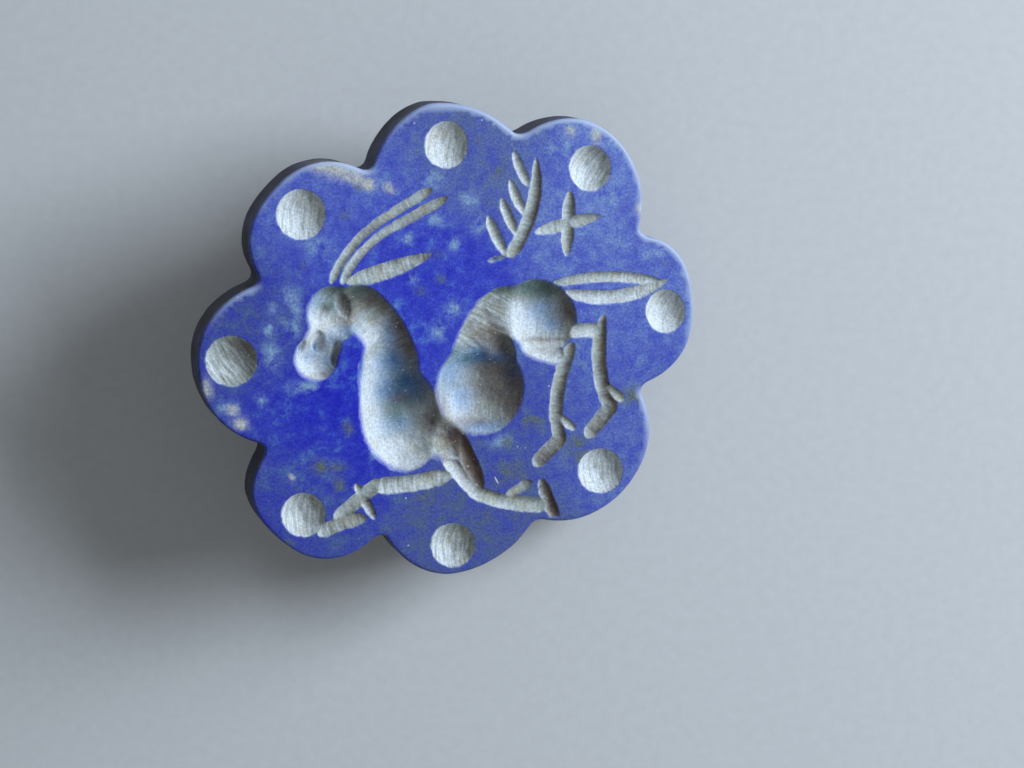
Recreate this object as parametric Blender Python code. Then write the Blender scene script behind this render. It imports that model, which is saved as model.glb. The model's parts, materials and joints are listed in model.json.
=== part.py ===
# Stamp seal of one stone: an eight-lobed plate, a leaping goat cut into its face, a pierced lug behind.
# Lengths are metres and angles degrees. The seal lies face up, leaning on two lobes and the lug.
import math

import bmesh
import bpy
import numpy as np
from mathutils import Matrix, Vector

# Driving dimensions of the stone
SEAL_ACROSS = 0.036      # across the lobes, mean of the eight
PLATE_T = 0.0040         # thickness of the lobed plate
FACE_BEVEL = 0.0002      # worn edge round the sealing face
BACK_ROUND = 0.0014      # rounding of the back edge
LUG_H = 0.0052           # how far the lug stands behind the plate
LUG_BASE_L = 0.0116      # lug length and width where it leaves the plate
LUG_BASE_W = 0.0066
LUG_TOP_L = 0.0084       # lug length and width at its ridge
LUG_TOP_W = 0.0036
LUG_ROUND = 0.0009       # rounding of the ridge
LUG_CORNER = 0.0013      # rounding of its corners, seen from behind
LUG_HOLLOW = 0.0001      # hollow in the middle of its long sides, so that the ridge stands on its two ends
LUG_FLARE = 0.0009       # hollow where the lug meets the plate
BORE_D = 0.0024          # string hole, narrowest in the middle
BORE_MOUTH_D = 0.0034    # string hole where it opens
BORE_DEPTH = 0.0025      # middle of the string hole, behind the plate
CUT_LIMIT = 0.55         # deepest cut, as a share of the plate

# The design is drawn in millimetres on a seal of this size and scales with the seal
DRAWN_ACROSS = 36.0
MM = SEAL_ACROSS / DRAWN_ACROSS

# Lobes, clockwise from the top: tip angle, tip reach, angle and reach of the notch after it, fullness
LOBES = (
    (93.6, 17.18, 70.6, 15.41, 1.76),
    (50.9, 18.93, 26.8, 15.82, 2.12),
    (8.9, 18.66, -15.9, 14.82, 2.99),
    (-39.0, 17.82, -64.7, 14.85, 2.28),
    (-90.7, 17.17, -111.2, 14.43, 1.86),
    (-134.2, 18.63, -153.4, 14.89, 3.09),
    (-177.3, 18.42, -199.9, 14.51, 2.27),
    (-219.3, 17.19, -244.7, 13.61, 2.66),
)
REST_LOBES = (2, 3)      # the two lobes that the seal leans on
NOTCH_SOFT = 2.0         # degrees over which a notch is rounded

# Strokes of the wheel: start x y, end x y, bow to the left, width, depth, swelling at start and end
STROKES = {
    "horn_outer": (-8.76, 4.72, -3.56, 9.77, 0.76, 0.68, 0.23, 0.10, 0.05),
    "horn_outer_tip": (-4.41, 9.39, -1.41, 11.05, 0.03, 0.76, 0.25, 0.08, 0.25),
    "horn_inner": (-7.98, 4.64, -3.55, 8.75, 0.61, 0.66, 0.22, 0.10, 0.05),
    "horn_inner_tip": (-4.26, 8.45, -0.25, 10.42, 0.00, 0.78, 0.26, 0.08, 0.25),
    "ear": (-7.64, 4.68, -1.50, 6.38, -0.11, 1.37, 0.45, 0.35, 0.55),
    "brow": (-7.98, 3.70, -7.42, 2.15, 0.00, 0.85, 0.28, 0.50, 0.50),
    "nostril_front": (-9.56, 1.15, -9.65, -0.27, 0.00, 0.79, 0.32, 0.50, 0.50),
    "nostril_side": (-10.82, 0.70, -10.98, -0.15, 0.00, 0.56, 0.23, 0.40, 0.40),
    "nostril_far": (-8.28, 0.40, -8.50, -1.30, 0.00, 0.64, 0.24, 0.40, 0.40),
    "neck": (-7.72, 3.62, -3.88, -2.60, 0.87, 3.42, 1.15, 0.22, 0.20),
    "chest_front": (-4.78, 0.35, -4.46, -5.35, 0.00, 4.60, 1.45, 0.45, 0.30),
    "waist": (1.72, -3.60, 5.20, 3.00, 1.18, 3.95, 1.21, 0.30, 0.30),
    "haunch_near": (5.12, -0.54, 9.09, -1.78, -0.07, 1.42, 0.52, 0.25, 0.40),
    "haunch_far": (7.01, 0.32, 11.46, 0.30, 0.07, 1.10, 0.36, 0.30, 0.15),
    "shank_far": (11.57, 1.48, 12.05, -5.45, -0.62, 1.12, 0.37, 0.35, 0.12),
    "hoof_far": (12.44, -5.10, 10.35, -7.43, 0.00, 1.19, 0.39, 0.25, 0.20),
    "dewclaw_far": (11.57, -3.78, 13.14, -5.00, 0.00, 0.73, 0.24, 0.30, 0.30),
    "shank_near": (9.16, -0.53, 7.88, -6.45, -0.39, 1.09, 0.36, 0.20, 0.20),
    "pastern_near": (7.72, -4.88, 8.19, -7.74, 0.00, 0.99, 0.33, 0.30, 0.15),
    "hoof_near": (8.42, -7.38, 6.35, -9.29, 0.00, 1.18, 0.39, 0.20, 0.20),
    "dewclaw_near": (7.72, -5.62, 9.34, -6.92, 0.00, 0.66, 0.22, 0.30, 0.30),
    "tail_upper": (7.31, 3.81, 16.33, 3.49, 0.55, 0.81, 0.27, 0.30, 0.30),
    "tail_lower": (8.30, 3.33, 16.41, 3.74, -0.81, 1.07, 0.35, 0.35, 0.35),
    "foreleg_back": (-0.70, -7.94, 2.23, -11.41, -0.11, 1.23, 0.40, 0.30, 0.30),
    "foreleg_front": (0.21, -6.53, 2.15, -10.96, 0.07, 1.25, 0.45, 0.20, 0.30),
    "forearm_back": (1.02, -10.73, 7.20, -12.39, -0.41, 1.07, 0.35, 0.20, 0.15),
    "cannon_back": (3.98, -11.84, 7.20, -12.39, -0.15, 1.19, 0.33, 0.30, 0.20),
    "spur_back": (4.13, -11.63, 5.97, -10.65, 0.08, 0.78, 0.26, 0.30, 0.30),
    "hoof_back": (6.74, -10.48, 7.98, -13.66, -0.07, 0.97, 0.32, 0.35, 0.30),
    "arm_near": (-5.62, -10.09, 0.27, -9.56, -0.22, 1.30, 0.39, 0.12, 0.35),
    "shin_near": (-5.40, -9.81, -8.67, -12.28, 0.00, 1.10, 0.36, 0.15, 0.20),
    "knee_near": (-7.17, -9.83, -5.80, -12.50, 0.00, 0.72, 0.30, 0.30, 0.35),
    "hoof_near_fore": (-6.46, -12.38, -9.85, -13.29, -0.22, 1.08, 0.36, 0.30, 0.20),
    "branch_stem": (6.30, 12.99, 4.29, 5.98, 0.72, 1.02, 0.34, 0.45, 0.12),
    "twig_1": (4.66, 13.47, 5.78, 11.02, -0.07, 0.73, 0.24, 0.40, 0.40),
    "twig_2": (4.36, 11.49, 5.49, 8.95, -0.07, 0.73, 0.24, 0.40, 0.40),
    "twig_3": (3.73, 10.23, 4.89, 7.54, -0.07, 0.73, 0.24, 0.40, 0.40),
    "twig_4": (2.72, 8.99, 4.06, 6.14, -0.07, 0.80, 0.26, 0.40, 0.40),
    "twig_foot": (2.64, 5.77, 4.21, 6.06, 0.00, 0.44, 0.11, 0.40, 0.40),
    "cross_upright": (8.88, 10.55, 8.63, 5.86, 0.00, 0.99, 0.33, 0.30, 0.35),
    "cross_bar": (6.24, 7.63, 11.17, 8.65, 0.07, 0.99, 0.33, 0.35, 0.40),
}
# Strokes cut in the hollows of the head and muzzle start this far below the face
SUNK = {"brow": 1.10, "nostril_front": 0.80, "nostril_side": 0.60, "nostril_far": 0.50}

# Round cuts of the drill: centre x y, length, width, direction of the length, depth
ROUNDS = {
    "head": (-8.60, 2.52, 4.12, 4.04, -66, 1.30),
    "muzzle": (-9.95, -0.61, 3.32, 3.20, -56, 1.15),
    "jaw": (-9.35, 0.62, 3.00, 2.75, -66, 0.85),
    "chest": (-3.80, -5.25, 8.10, 6.05, -77, 1.90),
    "shoulder": (-0.45, -7.00, 4.20, 3.00, -65, 0.80),
    "flank": (3.61, -0.64, 3.40, 2.10, -62, 1.15),
    "belly": (2.13, -3.50, 7.00, 6.70, -61, 2.00),
    "rump": (6.68, 1.57, 6.00, 5.16, -39, 1.65),
    "lobe_round_1": (-0.32, 14.13, 3.38, 3.18, -79, 0.90),
    "lobe_round_2": (10.41, 12.13, 3.37, 3.17, -70, 0.90),
    "lobe_round_3": (16.32, 1.44, 3.32, 3.06, -65, 0.90),
    "lobe_round_4": (11.35, -10.19, 3.64, 3.33, -33, 0.95),
    "lobe_round_5": (0.03, -14.91, 3.50, 3.23, -38, 0.90),
    "lobe_round_6": (-11.01, -11.81, 3.35, 3.15, -53, 0.90),
    "lobe_round_7": (-15.95, -0.41, 3.71, 3.56, -34, 0.95),
    "lobe_round_8": (-10.84, 9.63, 3.61, 3.52, -58, 0.95),
}

# Fineness of the outline, the lug and the cutters
LOBE_STEPS = 14          # facets along one lobe
BACK_STEPS = 4           # facets over the back edge
STROKE_STEP = 0.80       # millimetres between a stroke's sections
STROKE_LEAST = 5         # sections in the shortest stroke
STROKE_LEVEL = 5         # bevel resolution of a stroke, which gives 14 sides
STROKE_POINT = 0.12      # width left at a stroke's point, as a share
SWELL_POWER = 0.6        # how full a stroke swells from its point
SMALL_BALL = 1.7         # millimetres, half width of the drill's small ball
BALL_SIDES = 20          # sides and rings of the small ball; a larger one has more
BALL_RINGS = 11
LUG_SIDES = 24           # sides of its four corners together
LUG_STEPS = 4            # rings along each stretch of the lug
LUG_CORNER_MOST = 0.95   # a corner takes at most this share of half the width
QUARTERS = ((1, 1), (-1, 1), (-1, -1), (1, -1))
LUG_TAPER = 1.3          # how much of the narrowing is near the base
LUG_SUNK = 0.0006        # the lug's body runs this far into the plate
BORE_SIDES = 18
BORE_OVERLAP = 0.0002    # the string hole's two halves run this far past its middle
SAME_POINT = 1e-6
FLAT = math.radians(0.1)

STONE_RGB = (0.045, 0.075, 0.36, 1.0)
STONE_ROUGHNESS = 0.5
SMOOTH_ANGLE = 35.0


def clear_scene():
    for thing in list(bpy.data.objects):
        bpy.data.objects.remove(thing)
    for group in list(bpy.data.collections):
        bpy.data.collections.remove(group)


def collection(name):
    group = bpy.data.collections.new(name)
    bpy.context.scene.collection.children.link(group)
    return group


def add_object(name, bm, group):
    bmesh.ops.recalc_face_normals(bm, faces=bm.faces)
    mesh = bpy.data.meshes.new(name)
    bm.to_mesh(mesh)
    bm.free()
    thing = bpy.data.objects.new(name, mesh)
    group.objects.link(thing)
    return thing


def curve_mesh(curve, group):
    """The curve's surface as a mesh with its caps welded on; the curve itself goes."""
    thing = bpy.data.objects.new(curve.name, curve)
    group.objects.link(thing)
    depsgraph = bpy.context.evaluated_depsgraph_get()
    mesh = bpy.data.meshes.new_from_object(thing.evaluated_get(depsgraph))
    bm = bmesh.new()
    bm.from_mesh(mesh)
    bmesh.ops.remove_doubles(bm, verts=bm.verts, dist=SAME_POINT)
    bpy.data.objects.remove(thing)
    bpy.data.curves.remove(curve)
    bpy.data.meshes.remove(mesh)
    return bm


def stone_material():
    mat = bpy.data.materials.new("lapis_lazuli")
    mat.use_nodes = True
    shader = mat.node_tree.nodes["Principled BSDF"]
    shader.inputs["Base Color"].default_value = STONE_RGB
    shader.inputs["Roughness"].default_value = STONE_ROUGHNESS
    return mat


def lobe_span(i):
    """Angles of the notches before and after a lobe."""
    after = LOBES[i][2]
    before = LOBES[i - 1][2]
    return after + (before - after) % 360, after


def lobe_reach(angle):
    """Reach of the edge at an angle: each lobe falls from its tip to the notches beside it."""
    for i, (tip, reach, after, after_reach, fullness) in enumerate(LOBES):
        before = lobe_span(i)[0]
        turn = (angle - after) % 360 + after - tip
        if 0 <= turn <= before - tip:
            low = LOBES[i - 1][3]
            return low + (reach - low) * (1 - (turn / (before - tip)) ** fullness)
        if after - tip <= turn < 0:
            return after_reach + (reach - after_reach) * (1 - (turn / (after - tip)) ** fullness)
    return LOBES[0][1]


def outline():
    """The lobed edge, its points closer together toward the notches."""
    points = []
    shares = (-1.0, -0.5, 0.5, 1.0)
    for i in range(len(LOBES)):
        before, after = lobe_span(i)
        for k in range(LOBE_STEPS):
            t = k / LOBE_STEPS
            t -= 0.5 * math.sin(2 * math.pi * t) / (2 * math.pi)
            angle = before + (after - before) * t
            reach = sum(lobe_reach(angle + share * NOTCH_SOFT) for share in shares) / len(shares)
            turn = math.radians(angle)
            points.append((reach * MM * math.cos(turn), reach * MM * math.sin(turn)))
    return points


def round_edge(bm, height, width, steps):
    """Rounds the edges that lie at one height."""
    edges = [e for e in bm.edges if all(abs(v.co.z - height) < SAME_POINT for v in e.verts)]
    bmesh.ops.bevel(
        bm, geom=edges, offset=width, offset_type="OFFSET", segments=steps, profile=0.5,
        affect="EDGES", clamp_overlap=False,
    )


def plate_body():
    """The lobed plate, its face at zero, its face edge worn and its back edge rounded."""
    curve = bpy.data.curves.new("seal_plate", "CURVE")
    curve.dimensions = "2D"
    curve.fill_mode = "BOTH"
    curve.extrude = PLATE_T / 2
    points = outline()
    spline = curve.splines.new("POLY")
    spline.points.add(len(points) - 1)
    spline.use_cyclic_u = True
    for spot, (x, y) in zip(spline.points, points):
        spot.co = (x, y, 0.0, 1.0)
    bm = curve_mesh(curve, bpy.context.scene.collection)
    bmesh.ops.translate(bm, vec=(0.0, 0.0, -PLATE_T / 2), verts=bm.verts)
    bmesh.ops.dissolve_limit(bm, angle_limit=FLAT, verts=bm.verts, edges=bm.edges)
    round_edge(bm, 0.0, FACE_BEVEL, 1)
    round_edge(bm, -PLATE_T, BACK_ROUND, BACK_STEPS)
    return bm


def lug_half(base, top, depth):
    """Half breadth of the lug at a depth behind the plate, with its flare and rounding."""
    share = min(max(depth / LUG_H, 0.0), 1.0)
    half = (top + (base - top) * (1 - share) ** LUG_TAPER) / 2
    if depth < LUG_FLARE:
        half += LUG_FLARE - math.sqrt(LUG_FLARE ** 2 - (LUG_FLARE - max(depth, 0.0)) ** 2)
    start = LUG_H - LUG_ROUND
    if depth > start:
        half -= LUG_ROUND - math.sqrt(max(LUG_ROUND ** 2 - (depth - start) ** 2, 0.0))
    return half


def lug_depths():
    """Depths of the lug's rings: the flare, the side and the rounding of the ridge."""
    depths = [-LUG_SUNK]
    side = LUG_H - LUG_ROUND - LUG_FLARE
    for k in range(LUG_STEPS):
        depths.append(LUG_FLARE * (1 - math.cos(math.pi / 2 * k / LUG_STEPS)))
    for k in range(LUG_STEPS):
        depths.append(LUG_FLARE + side * k / LUG_STEPS)
    for k in range(LUG_STEPS + 1):
        depths.append(LUG_H - LUG_ROUND + LUG_ROUND * math.sin(math.pi / 2 * k / LUG_STEPS))
    return depths


def lug_rings(lean):
    """Sections of the lug. Its ridge lies across the direction in which the seal leans."""
    along = lean + math.pi / 2
    rings = []
    for depth in lug_depths():
        long_half = lug_half(LUG_BASE_L, LUG_TOP_L, depth)
        wide_half = lug_half(LUG_BASE_W, LUG_TOP_W, depth)
        corner = min(LUG_CORNER, wide_half * LUG_CORNER_MOST)
        spots = []
        for k in range(LUG_SIDES):
            quarter, step = divmod(k, LUG_SIDES // 4)
            turn = math.pi / 2 * (quarter + step / (LUG_SIDES // 4 - 1))
            side_x, side_y = QUARTERS[quarter]
            x = side_x * (long_half - corner) + corner * math.cos(turn)
            y = side_y * (wide_half - corner) + corner * math.sin(turn)
            spots.append((x, y))
            if side_x == side_y and step == LUG_SIDES // 4 - 1:
                spots.append((0.0, side_y * (wide_half - LUG_HOLLOW)))
        ring = []
        for x, y in spots:
            px = x * math.cos(along) - y * math.sin(along)
            py = x * math.sin(along) + y * math.cos(along)
            ring.append((px, py, -PLATE_T - depth))
        rings.append(ring)
    return rings


def loft(rings):
    """Closed body through rings of equal count."""
    bm = bmesh.new()
    rows = [[bm.verts.new(p) for p in ring] for ring in rings]
    for row, other in zip(rows, rows[1:]):
        for k in range(len(row)):
            n = (k + 1) % len(row)
            bm.faces.new((row[k], row[n], other[n], other[k]))
    bm.faces.new(rows[0])
    bm.faces.new(rows[-1])
    return bm


def up_in_seal(lean, tilt):
    """The floor's up direction in the seal's own frame, when the seal leans by tilt toward lean."""
    s = math.sin(tilt)
    return np.array((-s * math.cos(lean), -s * math.sin(lean), math.cos(tilt)))


def halve(low, high, is_low):
    """The value between low and high where is_low turns false."""
    for step in range(40):
        middle = (low + high) / 2
        if is_low(middle):
            low = middle
        else:
            high = middle
    return (low + high) / 2


def rest_pose(plate_points):
    """Lean and tilt in which the seal touches the floor with two lobes and the ridge of its lug."""
    angles = np.degrees(np.arctan2(plate_points[:, 1], plate_points[:, 0]))
    lobes = []
    for i in REST_LOBES:
        before, after = lobe_span(i)
        lobes.append(plate_points[(angles - after) % 360 <= before - after])
    middle = math.radians(LOBES[REST_LOBES[0]][2])
    reach = math.radians(20)
    lean = middle
    tilt = math.atan2(LUG_H, SEAL_ACROSS / 2)

    def low_of(points, at_lean, at_tilt):
        return (points @ up_in_seal(at_lean, at_tilt)).min()

    for turn in range(6):
        lean = halve(
            middle - reach, middle + reach,
            lambda a: low_of(lobes[0], a, tilt) >= low_of(lobes[1], a, tilt),
        )
        lug = np.array([p for ring in lug_rings(lean) for p in ring])
        tilt = halve(
            0.0, math.radians(70),
            lambda a: low_of(lug, lean, a) < low_of(lobes[0], lean, a),
        )
    return lean, tilt


def seat_matrix(lean, tilt, points):
    """From the seal's own frame to the floor: its x stays over the floor's x, its lowest point at zero."""
    up = Vector(up_in_seal(lean, tilt))
    right = Vector((1.0, 0.0, math.tan(tilt) * math.cos(lean))).normalized()
    turn = Matrix((right, up.cross(right), up))
    placed = points @ np.array(turn).T
    low = placed.min(axis=0)
    high = placed.max(axis=0)
    shift = Vector((-(low[0] + high[0]) / 2, -(low[1] + high[1]) / 2, -low[2]))
    return Matrix.Translation(shift) @ turn.to_4x4()


def stroke_width(s, width, swell_start, swell_end):
    grow = 1.0 if s >= swell_start else 1 - (1 - s / swell_start) ** 2
    fall = 1.0 if 1 - s >= swell_end else 1 - (1 - (1 - s) / swell_end) ** 2
    return width * max((grow * fall) ** SWELL_POWER, STROKE_POINT)


def stroke_cutter(name, row, group):
    """A bowed tube that swells from its points: what the rim of a cutting wheel takes away."""
    x0, y0, x1, y1, bow, width, depth, swell_start, swell_end = row
    start = Vector((x0, y0, 0.0)) * MM
    way = Vector((x1 - x0, y1 - y0, 0.0)) * MM
    left = Vector((-way.y, way.x, 0.0)).normalized() * bow * MM
    steps = max(STROKE_LEAST, round(way.length / MM / STROKE_STEP))
    curve = bpy.data.curves.new(name, "CURVE")
    curve.dimensions = "3D"
    curve.bevel_depth = MM
    curve.bevel_resolution = STROKE_LEVEL
    curve.use_fill_caps = True
    spline = curve.splines.new("POLY")
    spline.points.add(steps)
    for k, spot in enumerate(spline.points):
        t = k / steps
        s = 0.4 * t + 0.6 * (0.5 - 0.5 * math.cos(math.pi * t))
        w = stroke_width(s, width, swell_start, swell_end) * MM
        d = min(depth * w / width, CUT_LIMIT * PLATE_T)
        r = (w * w / 4 + d * d) / (2 * d)
        centre = start + way * s + left * (4 * s * (1 - s))
        spot.co = (centre.x, centre.y, r - d - SUNK.get(name, 0.0) * MM, 1.0)
        spot.radius = r / MM
    return add_object(name, curve_mesh(curve, group), group)


def round_cutter(name, row, group):
    """A stretched ball, sunk so that its rim on the face has the length and width given."""
    x, y, length, width, angle, depth = row
    half = math.sqrt(length * width) / 2
    d = min(depth, CUT_LIMIT * PLATE_T / MM)
    r = (half * half + d * d) / (2 * d)
    size = half / SMALL_BALL
    bm = bmesh.new()
    bmesh.ops.create_uvsphere(
        bm, u_segments=round(BALL_SIDES * size ** 0.35), v_segments=round(BALL_RINGS * size ** 0.5),
        radius=r * MM,
    )
    stretch = Matrix.Diagonal((length / 2 / half, width / 2 / half, 1.0, 1.0))
    turn = Matrix.Rotation(math.radians(angle), 4, "Z")
    place = Matrix.Translation(Vector((x, y, r - d)) * MM)
    bmesh.ops.transform(bm, matrix=place @ turn @ stretch, verts=bm.verts)
    return add_object(name, bm, group)


def bore_cutters(lean, group):
    """The string hole along the lean, drilled from both sides, so that it narrows to its middle."""
    spread = (BORE_MOUTH_D - BORE_D) / 2 / lug_half(LUG_BASE_W, LUG_TOP_W, BORE_DEPTH)
    length = LUG_BASE_W / 2 + LUG_FLARE
    middle = Matrix.Translation((0.0, 0.0, -PLATE_T - BORE_DEPTH)) @ Matrix.Rotation(lean, 4, "Z")
    for name, side in (("string_hole_low_side", 1), ("string_hole_high_side", -1)):
        bm = bmesh.new()
        bmesh.ops.create_cone(
            bm, cap_ends=True, segments=BORE_SIDES, depth=length + BORE_OVERLAP,
            radius1=BORE_D / 2 - spread * BORE_OVERLAP, radius2=BORE_D / 2 + spread * length,
        )
        outward = Matrix.Rotation(side * math.pi / 2, 4, "Y")
        shift = Matrix.Translation((0.0, 0.0, (length - BORE_OVERLAP) / 2))
        bmesh.ops.transform(bm, matrix=middle @ outward @ shift, verts=bm.verts)
        add_object(name, bm, group)


def add_boolean(thing, name, operation, group):
    mod = thing.modifiers.new(name, "BOOLEAN")
    mod.operation = operation
    mod.solver = "EXACT"
    mod.operand_type = "COLLECTION"
    mod.collection = group


def build():
    clear_scene()
    parts = collection("stamp_seal")
    bodies = collection("lug_bodies")
    cutters = collection("cutters")

    seal = add_object("seal_stone", plate_body(), parts)
    plate_points = np.array([v.co[:] for v in seal.data.vertices])
    lean, tilt = rest_pose(plate_points)
    lug = add_object("lug_body", loft(lug_rings(lean)), bodies)
    lug_points = np.array([v.co[:] for v in lug.data.vertices])
    seat = seat_matrix(lean, tilt, np.vstack((plate_points, lug_points)))

    bore_cutters(lean, cutters)
    for name, row in STROKES.items():
        stroke_cutter(name, row, cutters)
    for name, row in ROUNDS.items():
        round_cutter(name, row, cutters)

    add_boolean(seal, "lug", "UNION", bodies)
    add_boolean(seal, "carving", "DIFFERENCE", cutters)
    seal.data.materials.append(stone_material())
    seal.data.shade_smooth()
    seal.data.set_sharp_from_angle(angle=math.radians(SMOOTH_ANGLE))
    for thing in (seal, *bodies.objects, *cutters.objects):
        thing.matrix_world = seat
    for thing in (*bodies.objects, *cutters.objects):
        thing.hide_render = True
        thing.display_type = "WIRE"


build()
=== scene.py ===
# A stamp seal cut from one piece of lapis lazuli. It lies face up on a pale table, leaning on two lobes
# and the lug behind. Lengths are millimetres in the seal's own frame: the sealing face is at zero, z up out of it.
import json
import math

import bmesh
import bpy
import numpy as np
from mathutils import Matrix, Vector
from mathutils.geometry import delaunay_2d_cdt


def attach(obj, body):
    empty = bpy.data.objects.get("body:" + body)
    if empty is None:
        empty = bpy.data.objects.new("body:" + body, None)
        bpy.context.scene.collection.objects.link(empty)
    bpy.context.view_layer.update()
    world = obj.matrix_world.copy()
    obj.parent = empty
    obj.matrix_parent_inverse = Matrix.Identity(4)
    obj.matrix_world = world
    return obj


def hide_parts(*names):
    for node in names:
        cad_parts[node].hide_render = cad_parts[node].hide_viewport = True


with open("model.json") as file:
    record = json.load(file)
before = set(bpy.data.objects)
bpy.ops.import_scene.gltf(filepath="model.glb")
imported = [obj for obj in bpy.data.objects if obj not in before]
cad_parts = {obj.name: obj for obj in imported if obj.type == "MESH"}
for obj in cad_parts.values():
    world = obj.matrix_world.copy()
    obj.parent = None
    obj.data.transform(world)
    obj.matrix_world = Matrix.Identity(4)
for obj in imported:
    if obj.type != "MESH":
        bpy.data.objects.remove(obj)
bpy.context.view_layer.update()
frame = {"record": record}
mm = 0.001
view = bpy.context.scene.view_settings
view.view_transform = "Standard"  # keeps the ultramarine full


def linear(code):
    channels = [int(code[i:i + 2], 16) / 255 for i in (1, 3, 5)]
    return tuple(c / 12.92 if c <= 0.04045 else ((c + 0.055) / 1.055) ** 2.4 for c in channels) + (1.0,)


def lumps(x, y, size, seed, octaves=1):
    # soft random unevenness from -1 to 1, with hills about size apart
    total = np.zeros_like(x, dtype=float)
    share = 1.0
    weight = 0.0
    for octave in range(octaves):
        table = np.random.default_rng(seed * 17 + octave).uniform(-1, 1, (97, 97))
        u, v = x / size + 211.3, y / size + 173.9
        iu, iv = np.floor(u).astype(int), np.floor(v).astype(int)
        fu, fv = u - iu, v - iv
        fu, fv = fu * fu * (3 - 2 * fu), fv * fv * (3 - 2 * fv)
        a, b = table[iv % 97, iu % 97], table[iv % 97, (iu + 1) % 97]
        c, d = table[(iv + 1) % 97, iu % 97], table[(iv + 1) % 97, (iu + 1) % 97]
        total += share * ((a * (1 - fu) + b * fu) * (1 - fv) + (c * (1 - fu) + d * fu) * fv)
        weight += share
        share, size = share / 2, size / 2
    return total / weight


def dents(x, y, size, seed, octaves):
    # the same unevenness from 0 to 1
    return 0.5 + 0.5 * lumps(x, y, size, seed, octaves)


stone = {
    "thick": 4.0,
    "faceMountUp": 3.0,      # the record's face mount stands this far above the middle
    "wornEdge": 0.22,        # rounding of the face's edge
    "backRound": 1.4,
    "edgePoints": 1200,
    "wallRings": 7,
    "notchSoft": 2.0,        # degrees
    "shrink": 0.9976,        # the fine outline stays inside the plain one's box
    "edgeUneven": 0.05,
    "wallUneven": 0.07,
    "backUneven": 0.015,
    # the distance between the hills of an unevenness, its seed and its octaves
    "edgeLumps": (1.3, 3, 3), "wornLumps": (2.2, 11, 2), "wallLumps": (1.1, 31, 3), "backLumps": (3.0, 51, 3),
    "wornUneven": 0.45,
    "paleToward": (0.50, 0.86), "wornElse": 0.15,  # the side where the edge is palest, by wear and a painted highlight, and the wear elsewhere
    "edgeRings": 4, "backRings": 8,
    "backCell": 0.55, "backHalf": 18, "backInset": 0.4,
    "backGap": 0.35,         # left free between the back's own grid and its edge or the lug's foot
    "paleAtFace": 0.8, "paleOnRound": 0.12, "paleOnWall": 0.25,  # worn pale, with a painted highlight: at the face, less at each ring, below
    "markedDepth": 2.6,      # stains of the face and the cuts lie above this depth
    "filmSpread": 3.0,       # how far each place in films reaches
    # clockwise from the top: tip angle, tip reach, angle and reach of the notch after it, fullness
    "lobes": (
        (93.6, 17.18, 70.6, 15.41, 1.76),
        (50.9, 18.93, 26.8, 15.82, 2.12),
        (8.9, 18.66, -15.9, 14.82, 2.99),
        (-39.0, 17.82, -64.7, 14.85, 2.28),
        (-90.7, 17.17, -111.2, 14.43, 1.86),
        (-134.2, 18.63, -153.4, 14.89, 3.09),
        (-177.3, 18.42, -199.9, 14.51, 2.27),
        (-219.3, 17.19, -244.7, 13.61, 2.66),
    ),
}


def lobeReach(angles):
    lobes = stone["lobes"]
    out = np.zeros_like(angles)
    for i, (tip, reach, after, afterReach, fullness) in enumerate(lobes):
        before = after + (lobes[i - 1][2] - after) % 360
        beforeReach = lobes[i - 1][3]
        a = (angles - after) % 360 + after
        rise = np.clip((a - tip) / (before - tip), 0, 1)
        fall = np.clip((tip - a) / (tip - after), 0, 1)
        high = beforeReach + (reach - beforeReach) * (1 - rise ** fullness)
        low = afterReach + (reach - afterReach) * (1 - fall ** fullness)
        out = np.where((a >= tip) & (a <= before), high, out)
        out = np.where((a >= after) & (a < tip), low, out)
    return out


def edgeLine():
    # evenly spaced points round the edge, anticlockwise, and the direction inward at each
    angles = np.linspace(0, 360, 7200, endpoint=False)
    shares = np.linspace(-1, 1, 9) * stone["notchSoft"]
    reach = np.mean([lobeReach(angles + s) for s in shares], axis=0) * stone["shrink"]
    turn = np.radians(angles)
    x, y = reach * np.cos(turn), reach * np.sin(turn)
    step = np.hypot(np.roll(x, -1) - x, np.roll(y, -1) - y)
    run = np.r_[0, np.cumsum(step)]
    places = np.linspace(0, run[-1], stone["edgePoints"], endpoint=False)
    px = np.interp(places, run, np.r_[x, x[0]])
    py = np.interp(places, run, np.r_[y, y[0]])
    dx, dy = np.roll(px, -2) - np.roll(px, 2), np.roll(py, -2) - np.roll(py, 2)
    size = np.hypot(dx, dy)
    inX, inY = -dy / size, dx / size
    dent = stone["edgeUneven"] * dents(px, py, *stone["edgeLumps"])
    return px + inX * dent, py + inY * dent, inX, inY


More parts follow.
